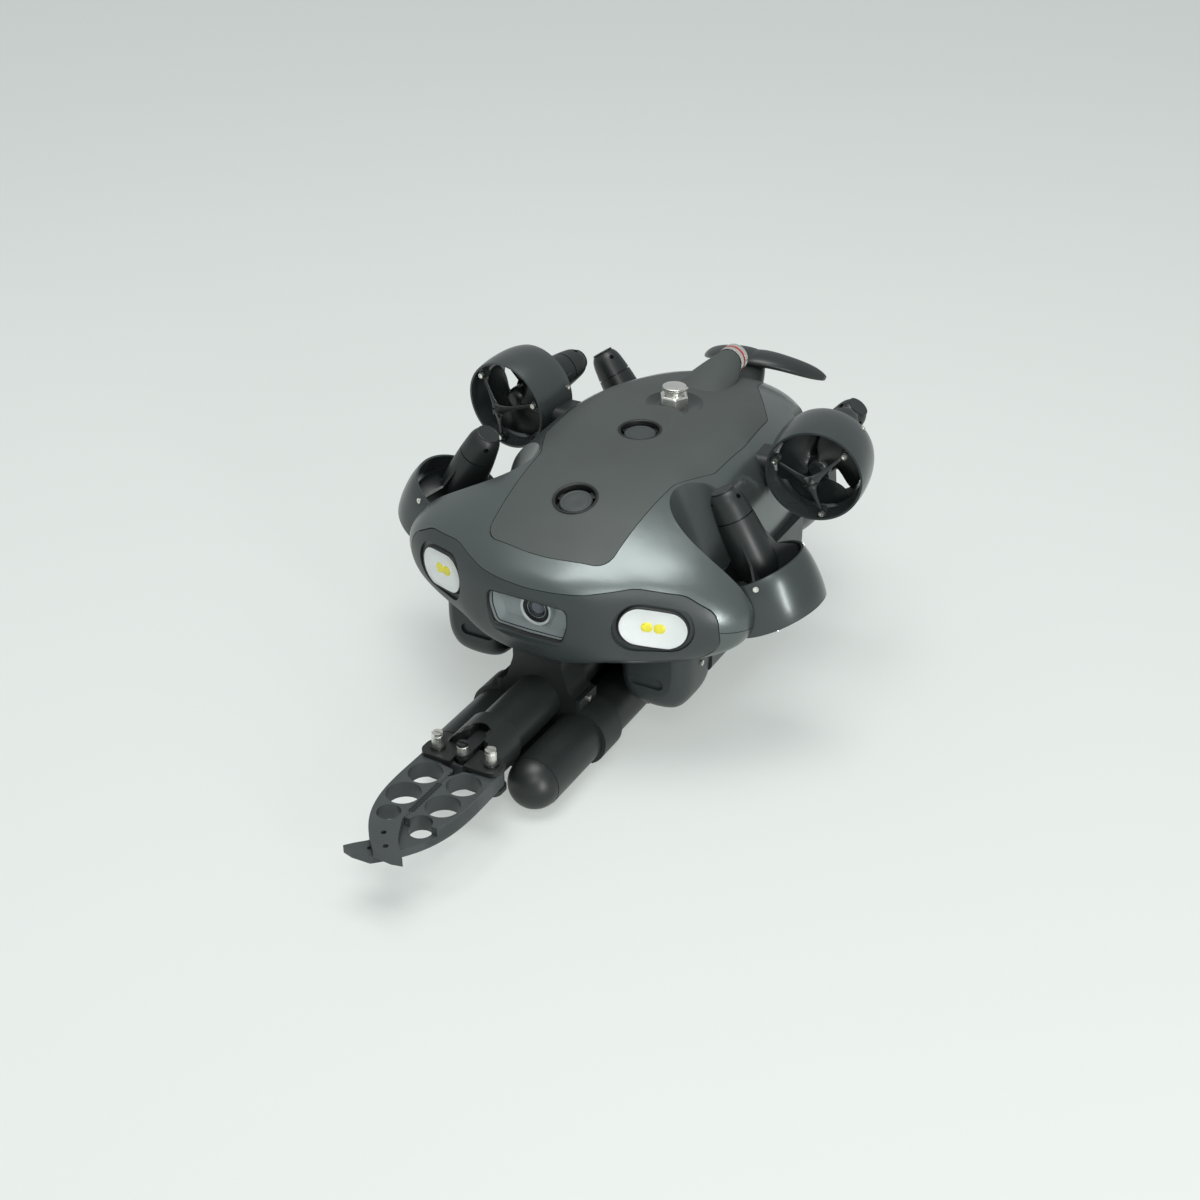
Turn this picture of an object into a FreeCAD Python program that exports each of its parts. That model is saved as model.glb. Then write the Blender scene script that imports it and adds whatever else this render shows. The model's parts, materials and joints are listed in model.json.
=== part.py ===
import FreeCAD, Part
import math
import os

# Underwater inspection vehicle: a lens-shaped hull that carries six ducted thrusters,
# a camera between two lamps, two battery pods, a tail fluke and, under the nose, a
# two-jaw gripper between two ballast tubes.
# Millimetres. +Z is up, the nose points to -Y, and the vehicle's port side is +X.
# Everything is modelled about the hull's datum (centre plane, vent valve, base line)
# and moved on export, so that the row's origin is under the middle of its box.

V = FreeCAD.Vector

FIT = 0.1                   # play between pieces that are pushed together

# ---- hull ------------------------------------------------------------------------
HULL_BEAM = 256.0           # across the two lamp lobes
HULL_NOSE_Y = -218.0        # flat nose, where the camera looks out
HULL_LENGTH = 364.0         # nose to the root of the tail
HULL_HEIGHT = 116.0         # from the bottom line to the crown at the reference station
HULL_BASE_Z = 15.0
SHELL_WALL = 3.2
COVER_THICKNESS = 1.6       # the dark cover lies in a pocket this deep
SEAM_GAP = 0.5              # visible joint line between the mouldings
SECTION_POINTS = 24
CAVITY_POINTS = 12
# Hull lines, nose to tail.  Each row is a station: its place along the length (0..1),
# half beam (share of HULL_BEAM / 2), height of the widest line, crown and keel (share of
# HULL_HEIGHT above HULL_BASE_Z), and the fullness of the upper and the lower half.
HULL_LINES = [
    (-0.004, 0.11, 0.36, 0.46, 0.27, 2.4, 2.4),
    (0.002, 0.23, 0.36, 0.545, 0.17, 2.5, 2.5),
    (0.013, 0.34, 0.36, 0.61, 0.11, 2.6, 2.6),
    (0.028, 0.45, 0.36, 0.65, 0.07, 2.5, 2.6),
    (0.050, 0.56, 0.37, 0.69, 0.05, 2.5, 2.6),
    (0.077, 0.715, 0.38, 0.735, 0.03, 2.2, 2.6),
    (0.110, 0.90, 0.38, 0.79, 0.02, 1.95, 2.6),
    (0.146, 1.015, 0.38, 0.84, 0.01, 1.85, 2.6),
    (0.187, 1.065, 0.38, 0.885, 0.00, 1.85, 2.6),
    (0.236, 1.045, 0.38, 0.92, 0.00, 2.0, 2.6),
    (0.310, 0.89, 0.38, 0.96, 0.00, 2.3, 2.7),
    (0.393, 0.77, 0.38, 0.985, 0.00, 2.8, 2.8),
    (0.475, 0.745, 0.38, 1.00, 0.00, 3.2, 2.8),
    (0.571, 0.745, 0.38, 1.00, 0.00, 3.2, 2.8),
    (0.681, 0.73, 0.39, 0.98, 0.01, 3.0, 2.7),
    (0.777, 0.68, 0.42, 0.94, 0.05, 2.7, 2.5),
    (0.860, 0.60, 0.48, 0.88, 0.14, 2.5, 2.4),
    (0.923, 0.48, 0.54, 0.81, 0.27, 2.3, 2.3),
    (0.967, 0.33, 0.58, 0.74, 0.40, 2.2, 2.2),
    (1.000, 0.14, 0.60, 0.66, 0.53, 2.0, 2.0),
]

# ---- cover on the back -------------------------------------------------------------
COVER_FRONT_Y = -199.0
COVER_NECK_HALF = 53.5      # half width between the front thrusters
COVER_BACK_HALF = 70.0      # half width behind them
COVER_TAIL_HALF = 31.0
FAIRING_END_Y = 101.0       # the tether fairing ends here, facing aft
FAIRING_END_Z = 127.0
FAIRING_END_RADIUS = 10.2

# ---- thrusters ---------------------------------------------------------------------
DUCT_BORE = 32.0            # inner radius at the throat
DUCT_MOUTH = 34.0           # inner radius at the guard end
DUCT_OUTLET = 33.0          # inner radius at the motor end
DUCT_LIP = 1.6              # wall at the two rims
DUCT_BELLY = 37.2           # largest outer radius
DUCT_SEAT_GAP = 0.5         # hull scoop to the duct's belly
GUARD_SCREW_CIRCLE = 29.8
GUARD_THICKNESS = 2.4
GUARD_RISE = 11.0           # the guard's hub stands this far ahead of its screws
GUARD_SPOKE = 2.2
GUARD_EYE_RADIUS = 2.9
GUARD_SEAT = 1.6            # depth of the screw bosses below the duct's mouth
SCREW_RADIUS = 2.0
SCREW_HEAD = 1.2
VANE_SCREW_BACK = 4.5       # from a duct's motor end to its vane screws
PROP_TIP_GAP = 1.2
PROP_HUB_RADIUS = 9.0
PROP_WIDTH = 15.0
PROP_BLADES = 3
SHAFT_RADIUS = 2.5
SHAFT_CLEARANCE = 0.05
MOTOR_RADIUS = 15.2
MOTOR_CAP_RADIUS = 7.6
MOTOR_SEAM_BACK = 21.0      # seam of the end cap, measured from the tip
PROP_START = 9.5            # from the guard end of a duct
MOTOR_START = 27.0
VANE_THICKNESS = 1.8
# name, centre of the guard end, axis towards the motor, duct length, motor tip, and
# how far the spokes are turned about the axis
THRUSTERS = [
    ("front", V(139.5, -107.2, 44.9), V(-0.475, -0.03, 0.88), 37.8, 97.0, -68.5),
    ("mid", V(128.3, -30.0, 113.0), V(-0.14, 0.985, 0.075), 40.0, 94.0, 84.0),
    ("rear", V(47.5, 93.0, 21.0), V(0.57, 0.035, 0.82), 36.0, 114.0, 30.0),
]

# ---- nose --------------------------------------------------------------------------
BAND_DEPTH = 48.0           # the dark nose band reaches this far back round the lobes
BAND_WALL = 4.0
LAMP_X = 84.5
LAMP_Z = 60.0
LAMP_YAW = 24.0             # degrees outboard
LAMP_WIDTH = 46.0
LAMP_HEIGHT = 26.0
LAMP_RIM = 5.0
LAMP_RECESS = 3.0
LAMP_BOWL_DEPTH = 6.5
WINDOW_THICKNESS = 2.5
CAMERA_Z = 58.5
CAMERA_WIDTH = 63.0
CAMERA_HEIGHT = 27.0
LENS_RING_RADIUS = 11.8
LENS_GLASS_RADIUS = 9.0

# ---- battery pods ------------------------------------------------------------------
POD_FRONT_Y = -173.0
POD_LENGTH = 200.0
POD_INNER_X = 45.0
POD_OUTER_X = 99.5
POD_BOTTOM_Z = -23.0
POD_POINTS = 16
POD_CASE_Y = -131.0         # the straight case starts here, behind the bulge
POD_CASE_X = 100.5
POD_CASE_Z = -2.0           # its outer lower edge
# Along a pod's bulge: place (0..1), size (share of the full section) and lift (mm).
POD_LINES = [(0.0, 0.62, 2.0), (0.04, 0.78, 1.2), (0.13, 0.91, 0.6), (0.30, 0.985, 0), (0.6, 1.0, 0),
             (0.86, 0.98, 1.0), (1.0, 0.88, 4.0)]

# ---- canister inside the hull ----------------------------------------------------------
CANISTER_RADIUS = 34.0
CANISTER_Z = 70.0
CANISTER_FRONT_Y = -150.0
CANISTER_LENGTH = 185.0

# ---- arm ---------------------------------------------------------------------------
BALLAST_X = 32.5
BALLAST_Z = -37.8
BALLAST_RADIUS = 19.0
BALLAST_FRONT_Y = -264.0    # seam of the front dome
BALLAST_LENGTH = 268.0
ARM_Z = -14.5
ARM_RADIUS = 18.0
ARM_FRONT_Y = -262.0
ARM_LENGTH = 185.0
COLLAR_RADIUS = 20.8
COLLAR_LENGTH = 27.0
CLAMP_WALL = 3.0
CLAMP_WIDTH = 25.0
CLAMP_FRONT_Y = -204.0
CLAMP_REAR_Y = -118.0
CLAMP_FLANGE_X = 30.0       # joint line between a saddle and a strap
CLAMP_TOP_Z = -8.0
BRACKET_HALF = 19.5
PIVOT_X = 20.8
PIVOT_Y = -299.5
PIN_RADIUS = 3.8
PIN_CLEARANCE = 0.06
JAW_THICKNESS = 12.0
JAW_FIT = 0.25              # jaw to fork plates, and the two jaw layers
FORK_PLATE = 3.2
FORK_FRONT_Y = -309.5
JAW_TOOTH_PITCH = 2.8
JAW_TOOTH_DEPTH = 1.3
JAW_TEETH = 20
JAW_MESH_GAP = 0.4
JAW_TOOTH_START = -315.0
JAW_HOLES = [(-14.8, -323.8, 11.7), (-15.0, -348.9, 11.7), (-12.0, -370.2, 8.0), (-2.8, -389.2, 1.85),
             (6.1, -400.0, 1.85)]
LEVER_REACH = 28.3          # from a pivot to the end of its lever
SLOT_PLAY = 0.45
PIN_TOP_Z = 7.0
ROD_RADIUS = 3.4
DRIVE_Y = -301.0            # the sliding pin that works both jaws
TONGUE_HALF = 5.2
SLOT_HALF = 6.2             # half the length of the slot in each jaw's lever
TONGUE_THICKNESS = 3.6
ROD_SETBACK = 10.4          # room ahead of the rod's riser for its stroke
RISER_LENGTH = 5.0
ARCH_RADIUS = 9.0

# ---- valve and couplings on the back -------------------------------------------------
HEX_ACROSS = 20.0
HEX_HEIGHT = 9.0
VALVE_CAP_RADIUS = 7.9
VALVE_STEM_RADIUS = 4.0
VALVE_Y = 3.8
DISH_RADIUS = 22.0
DISH_DEPTH = 2.6
DISH_FLOOR = 1.6            # wall left under the dish
PORT_FRONT_Y = -148.0
PORT_REAR_Y = -51.6
PORT_OUTER_RADIUS = 16.0
PORT_CAP_RADIUS = 12.2
PORT_DEPTH = 6.0
COUPLING_RADIUS = 11.0
COUPLING_LENGTH = 13.0
PLUG_STEP = 3.8
TAIL_SPAN = 108.0


# ---- helpers -------------------------------------------------------------------------
def mirrored(shape):
    """The same shape on the other side of the centre plane."""
    return shape.mirror(V(0, 0, 0), V(1, 0, 0))


def both_sides(shape):
    return Part.makeCompound([shape, mirrored(shape)])


def cylinder(radius, start, end):
    """A cylinder from one point to another."""
    axis = end.sub(start)
    return Part.makeCylinder(radius, axis.Length, start, axis)


def rounded_wire(corners):
    """A closed wire in the XY plane through corners (x, y, radius), with tangent arcs."""
    edges = []
    ends = []
    count = len(corners)
    for i, (x, y, radius) in enumerate(corners):
        here = V(x, y, 0)
        before = V(corners[i - 1][0], corners[i - 1][1], 0).sub(here).normalize()
        after_corner = corners[(i + 1) % count]
        after = V(after_corner[0], after_corner[1], 0).sub(here).normalize()
        if radius <= 0:
            ends.append((here, None, here))
            continue
        half = before.getAngle(after) / 2
        reach = radius / math.tan(half)
        middle = before.add(after).normalize()
        bow = radius / math.sin(half) - radius
        ends.append((here.add(before * reach), here.add(middle * bow), here.add(after * reach)))
    for i, (start, bow_point, end) in enumerate(ends):
        if bow_point is not None:
            edges.append(Part.Arc(start, bow_point, end).toShape())
        following = ends[(i + 1) % count][0]
        if end.sub(following).Length > 1e-6:
            edges.append(Part.LineSegment(end, following).toShape())
    return Part.Wire(edges)


def prism(corners, bottom, height):
    """A vertical prism with rounded corners."""
    wire = rounded_wire(corners)
    wire.translate(V(0, 0, bottom))
    return Part.Face(wire).extrude(V(0, 0, height))


def front_prism(corners, start_y, length):
    """A prism whose outline (x, z, radius) is drawn in the front view."""
    wire = rounded_wire([(x, -z, radius) for x, z, radius in corners])
    solid = Part.Face(wire).extrude(V(0, 0, length))
    solid.rotate(V(0, 0, 0), V(1, 0, 0), -90)
    solid.translate(V(0, start_y, 0))
    return solid


def stadium(width, height):
    """Corners of an upright slot with round ends."""
    w, h = width / 2, height / 2
    r = h * 0.98
    return [(-w, -h, r), (w, -h, r), (w, h, r), (-w, h, r)]


def revolve(profile):
    """A solid turned about Z from (radius, z) points."""
    points = [V(r, 0, z) for r, z in profile]
    face = Part.Face(Part.makePolygon(points + points[:1]))
    return face.revolve(V(0, 0, 0), V(0, 0, 1), 360)


def smooth_revolve(curved, straight):
    """A turned solid whose outer line is a spline and whose rest is straight."""
    spline = Part.BSplineCurve()
    spline.interpolate([V(r, 0, z) for r, z in curved])
    start = V(curved[0][0], 0, curved[0][1])
    corners = [V(curved[-1][0], 0, curved[-1][1])]
    corners += [V(r, 0, z) for r, z in straight]
    corners.append(start)
    edges = [spline.toShape()]
    edges += [Part.LineSegment(a, b).toShape() for a, b in zip(corners, corners[1:])]
    return Part.Face(Part.Wire(edges)).revolve(V(0, 0, 0), V(0, 0, 1), 360)


# ---- hull form -----------------------------------------------------------------------
def signed_power(value, power):
    return math.copysign(abs(value) ** power, value)


def hull_station(line, inset, count):
    """Points around one station of the hull, drawn in by an inset."""
    place, beam, wide, crown, keel, full_up, full_down = line
    middle_y = HULL_NOSE_Y + HULL_LENGTH / 2
    y = HULL_NOSE_Y + place * HULL_LENGTH
    y += inset * (middle_y - y) / (HULL_LENGTH / 2)
    half = beam * HULL_BEAM / 2 - inset
    z_wide = HULL_BASE_Z + wide * HULL_HEIGHT
    rise = (crown - wide) * HULL_HEIGHT - inset
    drop = (wide - keel) * HULL_HEIGHT - inset
    points = []
    for k in range(count):
        turn = 2 * math.pi * k / count - math.pi / 2
        up = math.sin(turn) > 0
        power = 2 / (full_up if up else full_down)
        x = half * signed_power(math.cos(turn), power)
        z = z_wide + (rise if up else drop) * signed_power(math.sin(turn), power)
        points.append(V(x, y, z))
    return points


def spline_ring(points):
    """A closed smooth wire whose knots are evenly shared, so that stations match."""
    knots = [k / len(points) for k in range(len(points) + 1)]
    curve = Part.BSplineCurve()
    curve.interpolate(Points=points, PeriodicFlag=True, Parameters=knots)
    return Part.Wire([curve.toShape()])


def hull_form(inset):
    """The whole hull as one smooth body."""
    rings = [spline_ring(hull_station(line, inset, SECTION_POINTS)) for line in HULL_LINES]
    return Part.makeLoft(rings, True, False)


def hull_cavity(inset):
    """The hollow inside the shells: the hull's form with flat facets, one wall in."""
    rings = []
    for line in HULL_LINES[::2]:
        points = hull_station(line, inset, CAVITY_POINTS)
        rings.append(Part.makePolygon(points + points[:1]))
    return Part.makeLoft(rings, True, True)


def surface_height(hull, x, y):
    """Height of the hull's upper side at a place."""
    ray = Part.makeLine(V(x, y, HULL_BASE_Z + HULL_HEIGHT / 2), V(x, y, 400))
    return ray.common(hull).BoundBox.ZMax


def surface_front(hull, x, z):
    """Where the hull's nose lies at a place in the front view."""
    ray = Part.makeLine(V(x, HULL_NOSE_Y - 50, z), V(x, HULL_NOSE_Y + HULL_LENGTH / 2, z))
    return ray.common(hull).BoundBox.YMin


# ---- thrusters -----------------------------------------------------------------------
def thruster_place(origin, axis, spin):
    """Local +Z runs from the guard to the motor; the spokes are turned by spin."""
    turn = FreeCAD.Rotation(V(0, 0, 1), axis).multiply(FreeCAD.Rotation(V(0, 0, 1), spin))
    return FreeCAD.Placement(origin, turn)


def spun(shape, turn):
    """The shape turned about local Z."""
    copy = shape.copy()
    copy.rotate(V(0, 0, 0), V(0, 0, 1), turn)
    return copy


def three(shape):
    """The shape repeated every third of a turn."""
    return [spun(shape, 120 * k) for k in range(3)]


def screw_head(radius=SCREW_RADIUS, height=SCREW_HEAD):
    """A round head with a small socket, standing on Z = 0 and facing -Z."""
    head = Part.makeCylinder(radius, height, V(0, 0, -height))
    return head.cut(Part.makeCylinder(radius * 0.45, height * 0.6, V(0, 0, -height)))


def vane_screw_seat(length):
    """Where a vane screw sits: the radius of its flat, on the duct's outer wall."""
    return V(DUCT_BORE + 3.6, 0, length - VANE_SCREW_BACK)


def duct(length):
    """A nozzle: thin rims, an airfoil wall, bosses for the guard and seats for vane screws."""
    outer = [(DUCT_MOUTH + DUCT_LIP, 0), (DUCT_BELLY - 0.3, length * 0.24), (DUCT_BELLY, length * 0.45),
             (DUCT_BELLY - 0.8, length * 0.8), (DUCT_OUTLET + DUCT_LIP, length)]
    shell = smooth_revolve(outer, [(DUCT_OUTLET, length), (DUCT_BORE, length * 0.74), (DUCT_BORE, 12.0),
                                   (DUCT_MOUTH, 0)])
    boss = Part.makeCylinder(3.2, 5.0, V(GUARD_SCREW_CIRCLE, 0, GUARD_SEAT))
    web = Part.makeBox(5.0, 5.0, 5.0, V(GUARD_SCREW_CIRCLE, -2.5, GUARD_SEAT))
    seat = vane_screw_seat(length)
    flat = cylinder(SCREW_RADIUS + FIT, seat, seat.add(V(6, 0, 0)))
    return shell.fuse(three(boss.fuse(web))).removeSplitter().cut(three(flat))


def guard():
    """Three thin spokes that run forward from screw eyes to a small pointed hub."""
    top = GUARD_SEAT
    low = top - GUARD_THICKNESS
    tip = low - GUARD_RISE
    hub = revolve([(0, tip - 2.0), (1.6, tip - 1.2), (3.4, tip + 1.6), (3.4, tip + GUARD_THICKNESS + 1.4),
                   (0, tip + GUARD_THICKNESS + 1.4)])
    reach = GUARD_SCREW_CIRCLE - GUARD_EYE_RADIUS + 0.8
    profile = [V(0, 0, tip), V(2.5, 0, tip), V(reach, 0, low), V(reach, 0, top), V(2.5, 0, tip + GUARD_THICKNESS + 0.6),
               V(0, 0, tip + GUARD_THICKNESS + 0.6)]
    spoke = Part.Face(Part.makePolygon(profile + profile[:1])).extrude(V(0, GUARD_SPOKE, 0))
    spoke.translate(V(0, -GUARD_SPOKE / 2, 0))
    eye = Part.makeCylinder(GUARD_EYE_RADIUS, GUARD_THICKNESS, V(GUARD_SCREW_CIRCLE, 0, low))
    return hub.fuse(three(spoke.fuse(eye))).removeSplitter()


def duct_screws(length):
    """Heads on the guard's eyes and, on the duct's wall, those that hold the vanes."""
    eye = screw_head()
    eye.translate(V(GUARD_SCREW_CIRCLE, 0, GUARD_SEAT - GUARD_THICKNESS))
    side = screw_head()
    side.rotate(V(0, 0, 0), V(0, 1, 0), -90)
    side.translate(vane_screw_seat(length))
    return three(eye) + three(side)


def blade_section(radius, chord, thickness, pitch):
    """One closed blade profile at a radius: two arcs, turned to its pitch angle."""
    half = chord / 2
    upper = Part.Arc(V(0, -half, 0), V(0, 0, thickness * 0.8), V(0, half, 0)).toShape()
    lower = Part.Arc(V(0, half, 0), V(0, 0, -thickness * 0.2), V(0, -half, 0)).toShape()
    wire = Part.Wire([upper, lower])
    wire.rotate(V(0, 0, 0), V(1, 0, 0), pitch)
    wire.translate(V(radius, 0, 0))
    return wire


def propeller():
    """A hub with a spinner towards the guard and three twisted blades."""
    z0 = PROP_START
    z1 = PROP_START + PROP_WIDTH
    tip = DUCT_BORE - PROP_TIP_GAP
    hub = smooth_revolve([(0.01, z0 - 2.0), (5.0, z0 - 0.4), (PROP_HUB_RADIUS, z0 + 5)],
                         [(PROP_HUB_RADIUS, z1), (0.01, z1)])
    sections = [(PROP_HUB_RADIUS - 3.0, 15.0, 2.6, 52.0), (PROP_HUB_RADIUS + 4, 19.0, 2.2, 43.0),
                (tip * 0.72, 21.0, 1.8, 32.0), (tip - 1.0, 15.0, 1.3, 25.0)]
    middle = (z0 + z1) / 2 + 0.5
    blades = []
    for k in range(PROP_BLADES):
        blade = Part.makeLoft([blade_section(*row) for row in sections], True, False)
        blade.translate(V(0, 0, middle))
        blade.rotate(V(0, 0, 0), V(0, 0, 1), 360.0 * k / PROP_BLADES)
        blades.append(blade)
    body = hub.fuse(blades)
    bore = Part.makeCylinder(SHAFT_RADIUS + SHAFT_CLEARANCE, PROP_WIDTH + 1, V(0, 0, z0 + 4))
    limit = Part.makeCylinder(tip, PROP_WIDTH + 12, V(0, 0, z0 - 6))
    return body.cut(bore).common(limit)


def motor(length, tip):
    """A nacelle on three thin vanes, with its shaft towards the propeller."""
    seam = tip - MOTOR_SEAM_BACK
    outer = [(MOTOR_RADIUS - 4.5, MOTOR_START), (MOTOR_RADIUS - 1.0, MOTOR_START + 7),
             (MOTOR_RADIUS, MOTOR_START + 18), (MOTOR_RADIUS - 1.6, seam), (MOTOR_RADIUS - 2.6, tip - 13),
             (MOTOR_RADIUS - 4.6, tip - 4.5), (MOTOR_CAP_RADIUS, tip - 0.5)]
    body = smooth_revolve(outer, [(MOTOR_CAP_RADIUS, tip), (0, tip), (0, MOTOR_START)])
    low, high = seam - SEAM_GAP, seam + SEAM_GAP
    inside, outside = MOTOR_RADIUS - 2.8, MOTOR_RADIUS + 2
    shape = body.cut(revolve([(inside, low), (outside, low), (outside, high), (inside, high)]))
    for k in range(3):
        slot = cylinder(1.9, V(MOTOR_CAP_RADIUS, 0, tip - 7.5), V(MOTOR_RADIUS + 3, 0, tip - 6.0))
        slot.rotate(V(0, 0, 0), V(0, 0, 1), 120 * k + 60)
        shape = shape.cut(slot)
    span = DUCT_BORE - 0.1
    root = MOTOR_RADIUS - 4
    outline = [V(root, 0, MOTOR_START + 1), V(span, 0, MOTOR_START + 1), V(span, 0, length - 1.0),
               V(MOTOR_RADIUS + 4, 0, length + 7), V(MOTOR_RADIUS - 1, 0, length + 27), V(root, 0, length + 27)]
    vane = Part.Face(Part.makePolygon(outline + outline[:1])).extrude(V(0, VANE_THICKNESS, 0))
    vane.translate(V(0, -VANE_THICKNESS / 2, 0))
    shaft_start = PROP_START + 4.5
    shaft = Part.makeCylinder(SHAFT_RADIUS, MOTOR_START + 1 - shaft_start, V(0, 0, shaft_start))
    return shape.fuse(three(vane) + [shaft])


def scoop(origin, axis, radius, low, high):
    """The open channel that a duct needs in the hull, along the thruster's axis."""
    unit = V(axis).normalize()
    return cylinder(radius, origin.add(unit * low), origin.add(unit * high))


def hull_scoops(extra):
    """Channels for the front and rear ducts, on both sides."""
    radius = DUCT_BELLY + DUCT_SEAT_GAP + extra
    cuts = []
    for name, origin, axis, length, tip, spin in THRUSTERS:
        if name != "mid":
            one = scoop(origin, axis, radius, -80, 130)
            cuts += [one, mirrored(one)]
    return cuts


# ---- nose ----------------------------------------------------------------------------
def nose_band(grow):
    """Front-view outline of the dark nose band, as a prism reaching back past the lobes."""
    g = grow
    right = [(0, 80.5 + g, 60), (40, 82 + g, 60), (70, 86.5 + g, 30), (100 + g, 82.5 + g, 22), (122 + g, 70 + g, 16),
             (124 + g, 46 - g, 14), (108 + g, 32 - g, 20), (60, 31 - g, 30), (36, 24 - g, 40), (0, 19.5 - g, 0)]
    left = [(-x, z, r) for x, z, r in reversed(right[1:-1])]
    return front_prism(right + left, HULL_NOSE_Y - 10, BAND_DEPTH + 10)


def lamp_frame(hull):
    """Placement of the port lamp: local XY is the window, local +Z looks out."""
    y = surface_front(hull, LAMP_X, LAMP_Z)
    turn = FreeCAD.Rotation(V(0, 0, 1), LAMP_YAW).multiply(FreeCAD.Rotation(V(1, 0, 0), 90))
    return FreeCAD.Placement(V(LAMP_X, y, LAMP_Z), turn)


def placed(shape, placement):
    copy = shape.copy()
    copy.Placement = placement.multiply(copy.Placement)
    return copy


def lamp_cut():
    """The pocket that a lamp takes out of the nose, in the lamp's own frame."""
    outer = prism(stadium(LAMP_WIDTH + 2 * LAMP_RIM, LAMP_HEIGHT + 2 * LAMP_RIM), -LAMP_RECESS, 20)
    inner = prism(stadium(LAMP_WIDTH, LAMP_HEIGHT), -LAMP_RECESS - 22, 30)
    return outer.fuse(inner)


def lamp_window():
    width = LAMP_WIDTH - 0.4
    return prism(stadium(width, LAMP_HEIGHT - 0.4), -LAMP_RECESS - WINDOW_THICKNESS, WINDOW_THICKNESS - 0.2)


def lamp_reflector():
    """A white bowl behind the window, with a flat floor for the two emitters."""
    top = -LAMP_RECESS - WINDOW_THICKNESS - 0.1
    block = prism(stadium(LAMP_WIDTH - 0.4, LAMP_HEIGHT - 0.4), top - LAMP_BOWL_DEPTH - 1.5, LAMP_BOWL_DEPTH + 1.5)
    mouth = rounded_wire(stadium(LAMP_WIDTH - 3, LAMP_HEIGHT - 3))
    mouth.translate(V(0, 0, top + 0.2))
    floor = rounded_wire(stadium(LAMP_WIDTH - 24, LAMP_HEIGHT - 15))
    floor.translate(V(0, 0, top - LAMP_BOWL_DEPTH))
    return block.cut(Part.makeLoft([mouth, floor], True, True))


def lamp_emitters():
    z = -LAMP_RECESS - WINDOW_THICKNESS - 0.1 - LAMP_BOWL_DEPTH
    return [Part.makeBox(7.6, 6.6, 1.2, V(side - 3.8, -3.3, z)) for side in (-4.2, 4.2)]


def camera_outline(grow):
    """Front view of the camera's opening: wider at the top, with rounded corners."""
    w = CAMERA_WIDTH / 2 + grow
    h = CAMERA_HEIGHT / 2 + grow
    return [(-w, CAMERA_Z + h, 5), (w, CAMERA_Z + h, 5), (w + 0.5, CAMERA_Z, 20), (w - 4, CAMERA_Z - h, 5),
            (0, CAMERA_Z - h - 1.5, 80), (-w + 4, CAMERA_Z - h, 5), (-w - 0.5, CAMERA_Z, 20)]


def camera_parts():
    """Window, back plate, lens barrel, ring and glass, from the nose inwards."""
    front = HULL_NOSE_Y
    window = front_prism(camera_outline(-0.2), front + 2.5, WINDOW_THICKNESS)
    plate = front_prism(camera_outline(-0.2), front + 11.0, 2.0)
    hole = cylinder(LENS_RING_RADIUS + 0.1, V(0, front, CAMERA_Z), V(0, front + 30, CAMERA_Z))
    plate = plate.cut(hole)
    barrel = cylinder(LENS_RING_RADIUS, V(0, front + 9.0, CAMERA_Z), V(0, front + 42, CAMERA_Z))
    barrel = barrel.cut(cylinder(LENS_GLASS_RADIUS + 0.1, V(0, front + 5, CAMERA_Z), V(0, front + 12, CAMERA_Z)))
    ring = cylinder(LENS_RING_RADIUS, V(0, front + 7.2, CAMERA_Z), V(0, front + 8.9, CAMERA_Z))
    ring = ring.cut(cylinder(LENS_GLASS_RADIUS + 0.3, V(0, front + 5, CAMERA_Z), V(0, front + 12, CAMERA_Z)))
    glass = Part.makeSphere(24.0, V(0, front + 31.2, CAMERA_Z))
    glass = glass.common(cylinder(LENS_GLASS_RADIUS, V(0, front + 4, CAMERA_Z), V(0, front + 11.9, CAMERA_Z)))
    return window, plate, barrel, ring, glass


# ---- hull pieces -----------------------------------------------------------------------
def cover_corners(grow):
    """Plan outline of the dark cover, from the nose down the port side and back up."""
    g = grow
    tail_y = HULL_NOSE_Y + HULL_LENGTH - 9
    half = [(0, COVER_FRONT_Y - g, 110), (COVER_NECK_HALF - 6 + g, COVER_FRONT_Y + 9 - g, 14),
            (COVER_NECK_HALF + g, -103, 12), (COVER_BACK_HALF - 1 + g, -70, 14),
            (COVER_BACK_HALF + 1 + g, -25, 60), (COVER_BACK_HALF - 4 + g, 29, 16),
            (COVER_TAIL_HALF + g, 88, 20), (COVER_TAIL_HALF - 12 + g, tail_y + g, 8)]
    other = [(-x, y, r) for x, y, r in reversed(half[1:])]
    return half + other


def ellipse_ring(centre, half_width, half_height):
    """An upright elliptical station across the vehicle."""
    points = []
    for k in range(12):
        turn = 2 * math.pi * k / 12 - math.pi / 2
        points.append(centre.add(V(half_width * math.cos(turn), 0, half_height * math.sin(turn))))
    return spline_ring(points)


def tether_fairing(form):
    """The hump on the cover's tail that carries the tether coupling, facing aft."""
    low = surface_height(form, 0, 30)
    r = FAIRING_END_RADIUS
    rings = [ellipse_ring(V(0, 34, low - 11.5), 25, 9), ellipse_ring(V(0, 58, low - 8.0), 21, 12.5),
             ellipse_ring(V(0, 81, FAIRING_END_Z - 5), 16.5, 14.5),
             ellipse_ring(V(0, FAIRING_END_Y, FAIRING_END_Z), r, r)]
    return Part.makeLoft(rings, True, False)


def port_place(form, y):
    """Where a port sits on the cover: local +Z is the cover's normal."""
    step = 6.0
    rise = surface_height(form, 0, y + step) - surface_height(form, 0, y - step)
    normal = V(0, -rise, 2 * step).normalize()
    return FreeCAD.Placement(V(0, y, surface_height(form, 0, y)), FreeCAD.Rotation(V(0, 0, 1), normal))


def port_hole():
    return Part.makeCylinder(PORT_OUTER_RADIUS, PORT_DEPTH + 14, V(0, 0, -PORT_DEPTH - 4))


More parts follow.
